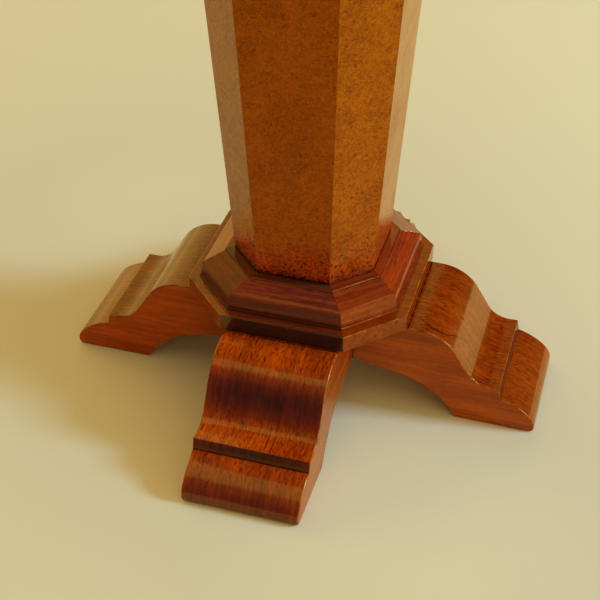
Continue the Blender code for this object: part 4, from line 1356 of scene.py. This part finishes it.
# Lippings
# Eight strips of mahogany tongued into the core and mitred at the corners, with a rounded upper edge
# and a cove below it.
TABLE_HEIGHT = 0.650
TOP_HALF = 0.280
TOP_SIDE_HALF = 0.154
TOP_THICK = 0.024
TOP_BOTTOM = TABLE_HEIGHT - TOP_THICK
LIPPING_WIDTH = 0.014
LIPPING_ROUND = 0.0055
LIPPING_QUIRK = 0.002
LIPPING_COVE_RADIUS = 0.006
LIPPING_COVE_FOOT = 0.003
LIPPING_DIRT = 0.5
LIPPING_PLANK = 16
round_centre = (LIPPING_ROUND, TOP_THICK - LIPPING_ROUND)
lipping_section = section(
    (LIPPING_QUIRK + LIPPING_COVE_RADIUS, 0.0, FILLET_ARRIS, 0.0),
    *cove((LIPPING_QUIRK, LIPPING_COVE_FOOT), LIPPING_COVE_RADIUS),
    (0.0, LIPPING_COVE_FOOT + LIPPING_COVE_RADIUS, FILLET_ARRIS, 0.0),
    *straight(arc(round_centre, LIPPING_ROUND, math.pi, QUARTER_TURN, MIDDLE_STEP)),
    (LIPPING_WIDTH, TOP_THICK, 0.0, LIPPING_DIRT),
    (LIPPING_WIDTH, 0.0, 0.0, 0.0),
)
top_plan = (TOP_HALF, TOP_SIDE_HALF)


def lipping_level(depth, height):
    return inset(top_plan, depth), TOP_BOTTOM + height


lipping_finish = polished_timber("polished_moulding", MOULDING_LIGHT, MOULDING_DARK, MOULDING_DASHES)
for index, side in enumerate(SIDES):
    lipping = skin(f"top_lipping_{side}", strip_body(index, lipping_section, lipping_level, LIPPING_PLANK))
    fit(lipping, f"top_lipping_{side}", "polished_mahogany", lipping_finish, lipping_finish)

# Crossbanding
# Eight strips of straight-grained veneer laid round the top with their grain across, mitred at the
# corners and glued to the core.
CROSSBAND_WIDTH = 0.032
BAND_LIGHT = (0.520, 0.100, 0.006)
BAND_DARK = (0.330, 0.045, 0.004)
BAND_DASHES = 0.45
BAND_PLANK = 24
core_plan = inset(top_plan, LIPPING_WIDTH + JOINT_GAP)
band_corners = ((0.0, 0.0), (0.0, LEAF_THICK), (CROSSBAND_WIDTH, LEAF_THICK), (CROSSBAND_WIDTH, 0.0))
band_section = section(*straight(band_corners))


def band_level(depth, height):
    return inset(core_plan, depth), TABLE_HEIGHT - LEAF_THICK + height


band_bodies = []
for index in range(len(SIDES)):
    band_bodies.append(strip_body(index, band_section, band_level, BAND_PLANK, across_grain=True))
band_finish = polished_timber("polished_crossbanding", BAND_LIGHT, BAND_DARK, BAND_DASHES)
band = skin("top_crossbanding", *band_bodies)
fit(band, "top_crossbanding", "polished_mahogany", band_finish, band_finish)

# Quartered leaves
# Four leaves of burr from one flitch, opened like a book both ways, so that the figure mirrors across
# the two seams in the middle of the top.
SEAM_STAIN = 0.0010  # reach of the glue and wax that darken a leaf's edge
SEAM_DIRT = 0.8
TOP_TONE = 1.0
TOP_CLOUDS = 0.55
QUARTERS = {"back_right": (1, 1), "back_left": (-1, 1), "front_left": (-1, -1), "front_right": (1, -1)}
top_burr, tree, place, figure = burr_finish("polished_burr_top", TOP_TONE, TOP_CLOUDS)
close_burr(tree, place, figure, add_corner_dirt_and_shade(tree, place, figure["Colour"]))
field_half, field_side_half = inset(core_plan, CROSSBAND_WIDTH + JOINT_GAP)
seam = JOINT_GAP / 2
quarter = [
    (seam, seam),
    (seam, field_half),
    (field_side_half, field_half),
    (field_half, field_side_half),
    (field_half, seam),
]
levels = (
    (quarter, TABLE_HEIGHT - LEAF_THICK, 0.0),
    (quarter, TABLE_HEIGHT, SEAM_DIRT),
    (drawn_in(quarter, [SEAM_STAIN] * len(quarter)), TABLE_HEIGHT, 0.0),
)
for corner, (across, along) in QUARTERS.items():
    rings = []
    for points, z, dirt in levels:
        ring = []
        for x, y in points:
            grain = Vector((x, y, LEAF_SPACING * len(SIDES)))
            ring.append(Spot(Vector((across * x, along * y, z)), grain, grain, 0.0, dirt))
        rings.append(ring)
    fit(skin(f"top_leaf_{corner}", rings), f"top_leaf_{corner}", "burr_veneer", top_burr, top_burr)

# Screws
# Slotted steel wood screws: four hold the plinth to the feet, four the cap to the pillar and four the
# top to the cap. Age has browned them a little.
SCREW_BRIGHT = (0.420, 0.400, 0.370)
SCREW_BROWNED = (0.200, 0.150, 0.110)
SCREW_GLOSS = (0.35, 0.60)
SCREW_BROWN = Pattern(700.0, 4.0, 0.40, 0.65, 0.6)
SCREW_METALLIC = 1.0
screw_steel, tree = new_material("browned_steel")
place = object_place(tree)
close_material(tree, {
    "Base Color": mix_colour(tree, patches(tree, place, SCREW_BROWN), SCREW_BRIGHT, SCREW_BROWNED),
    "Roughness": roughness_of(tree, place, SCREW_GLOSS),
    "Metallic": SCREW_METALLIC,
})
for kind in ("foot_screw", "head_screw", "top_screw"):
    for side in FEET:
        refinish(f"{kind}_{side}", screw_steel)
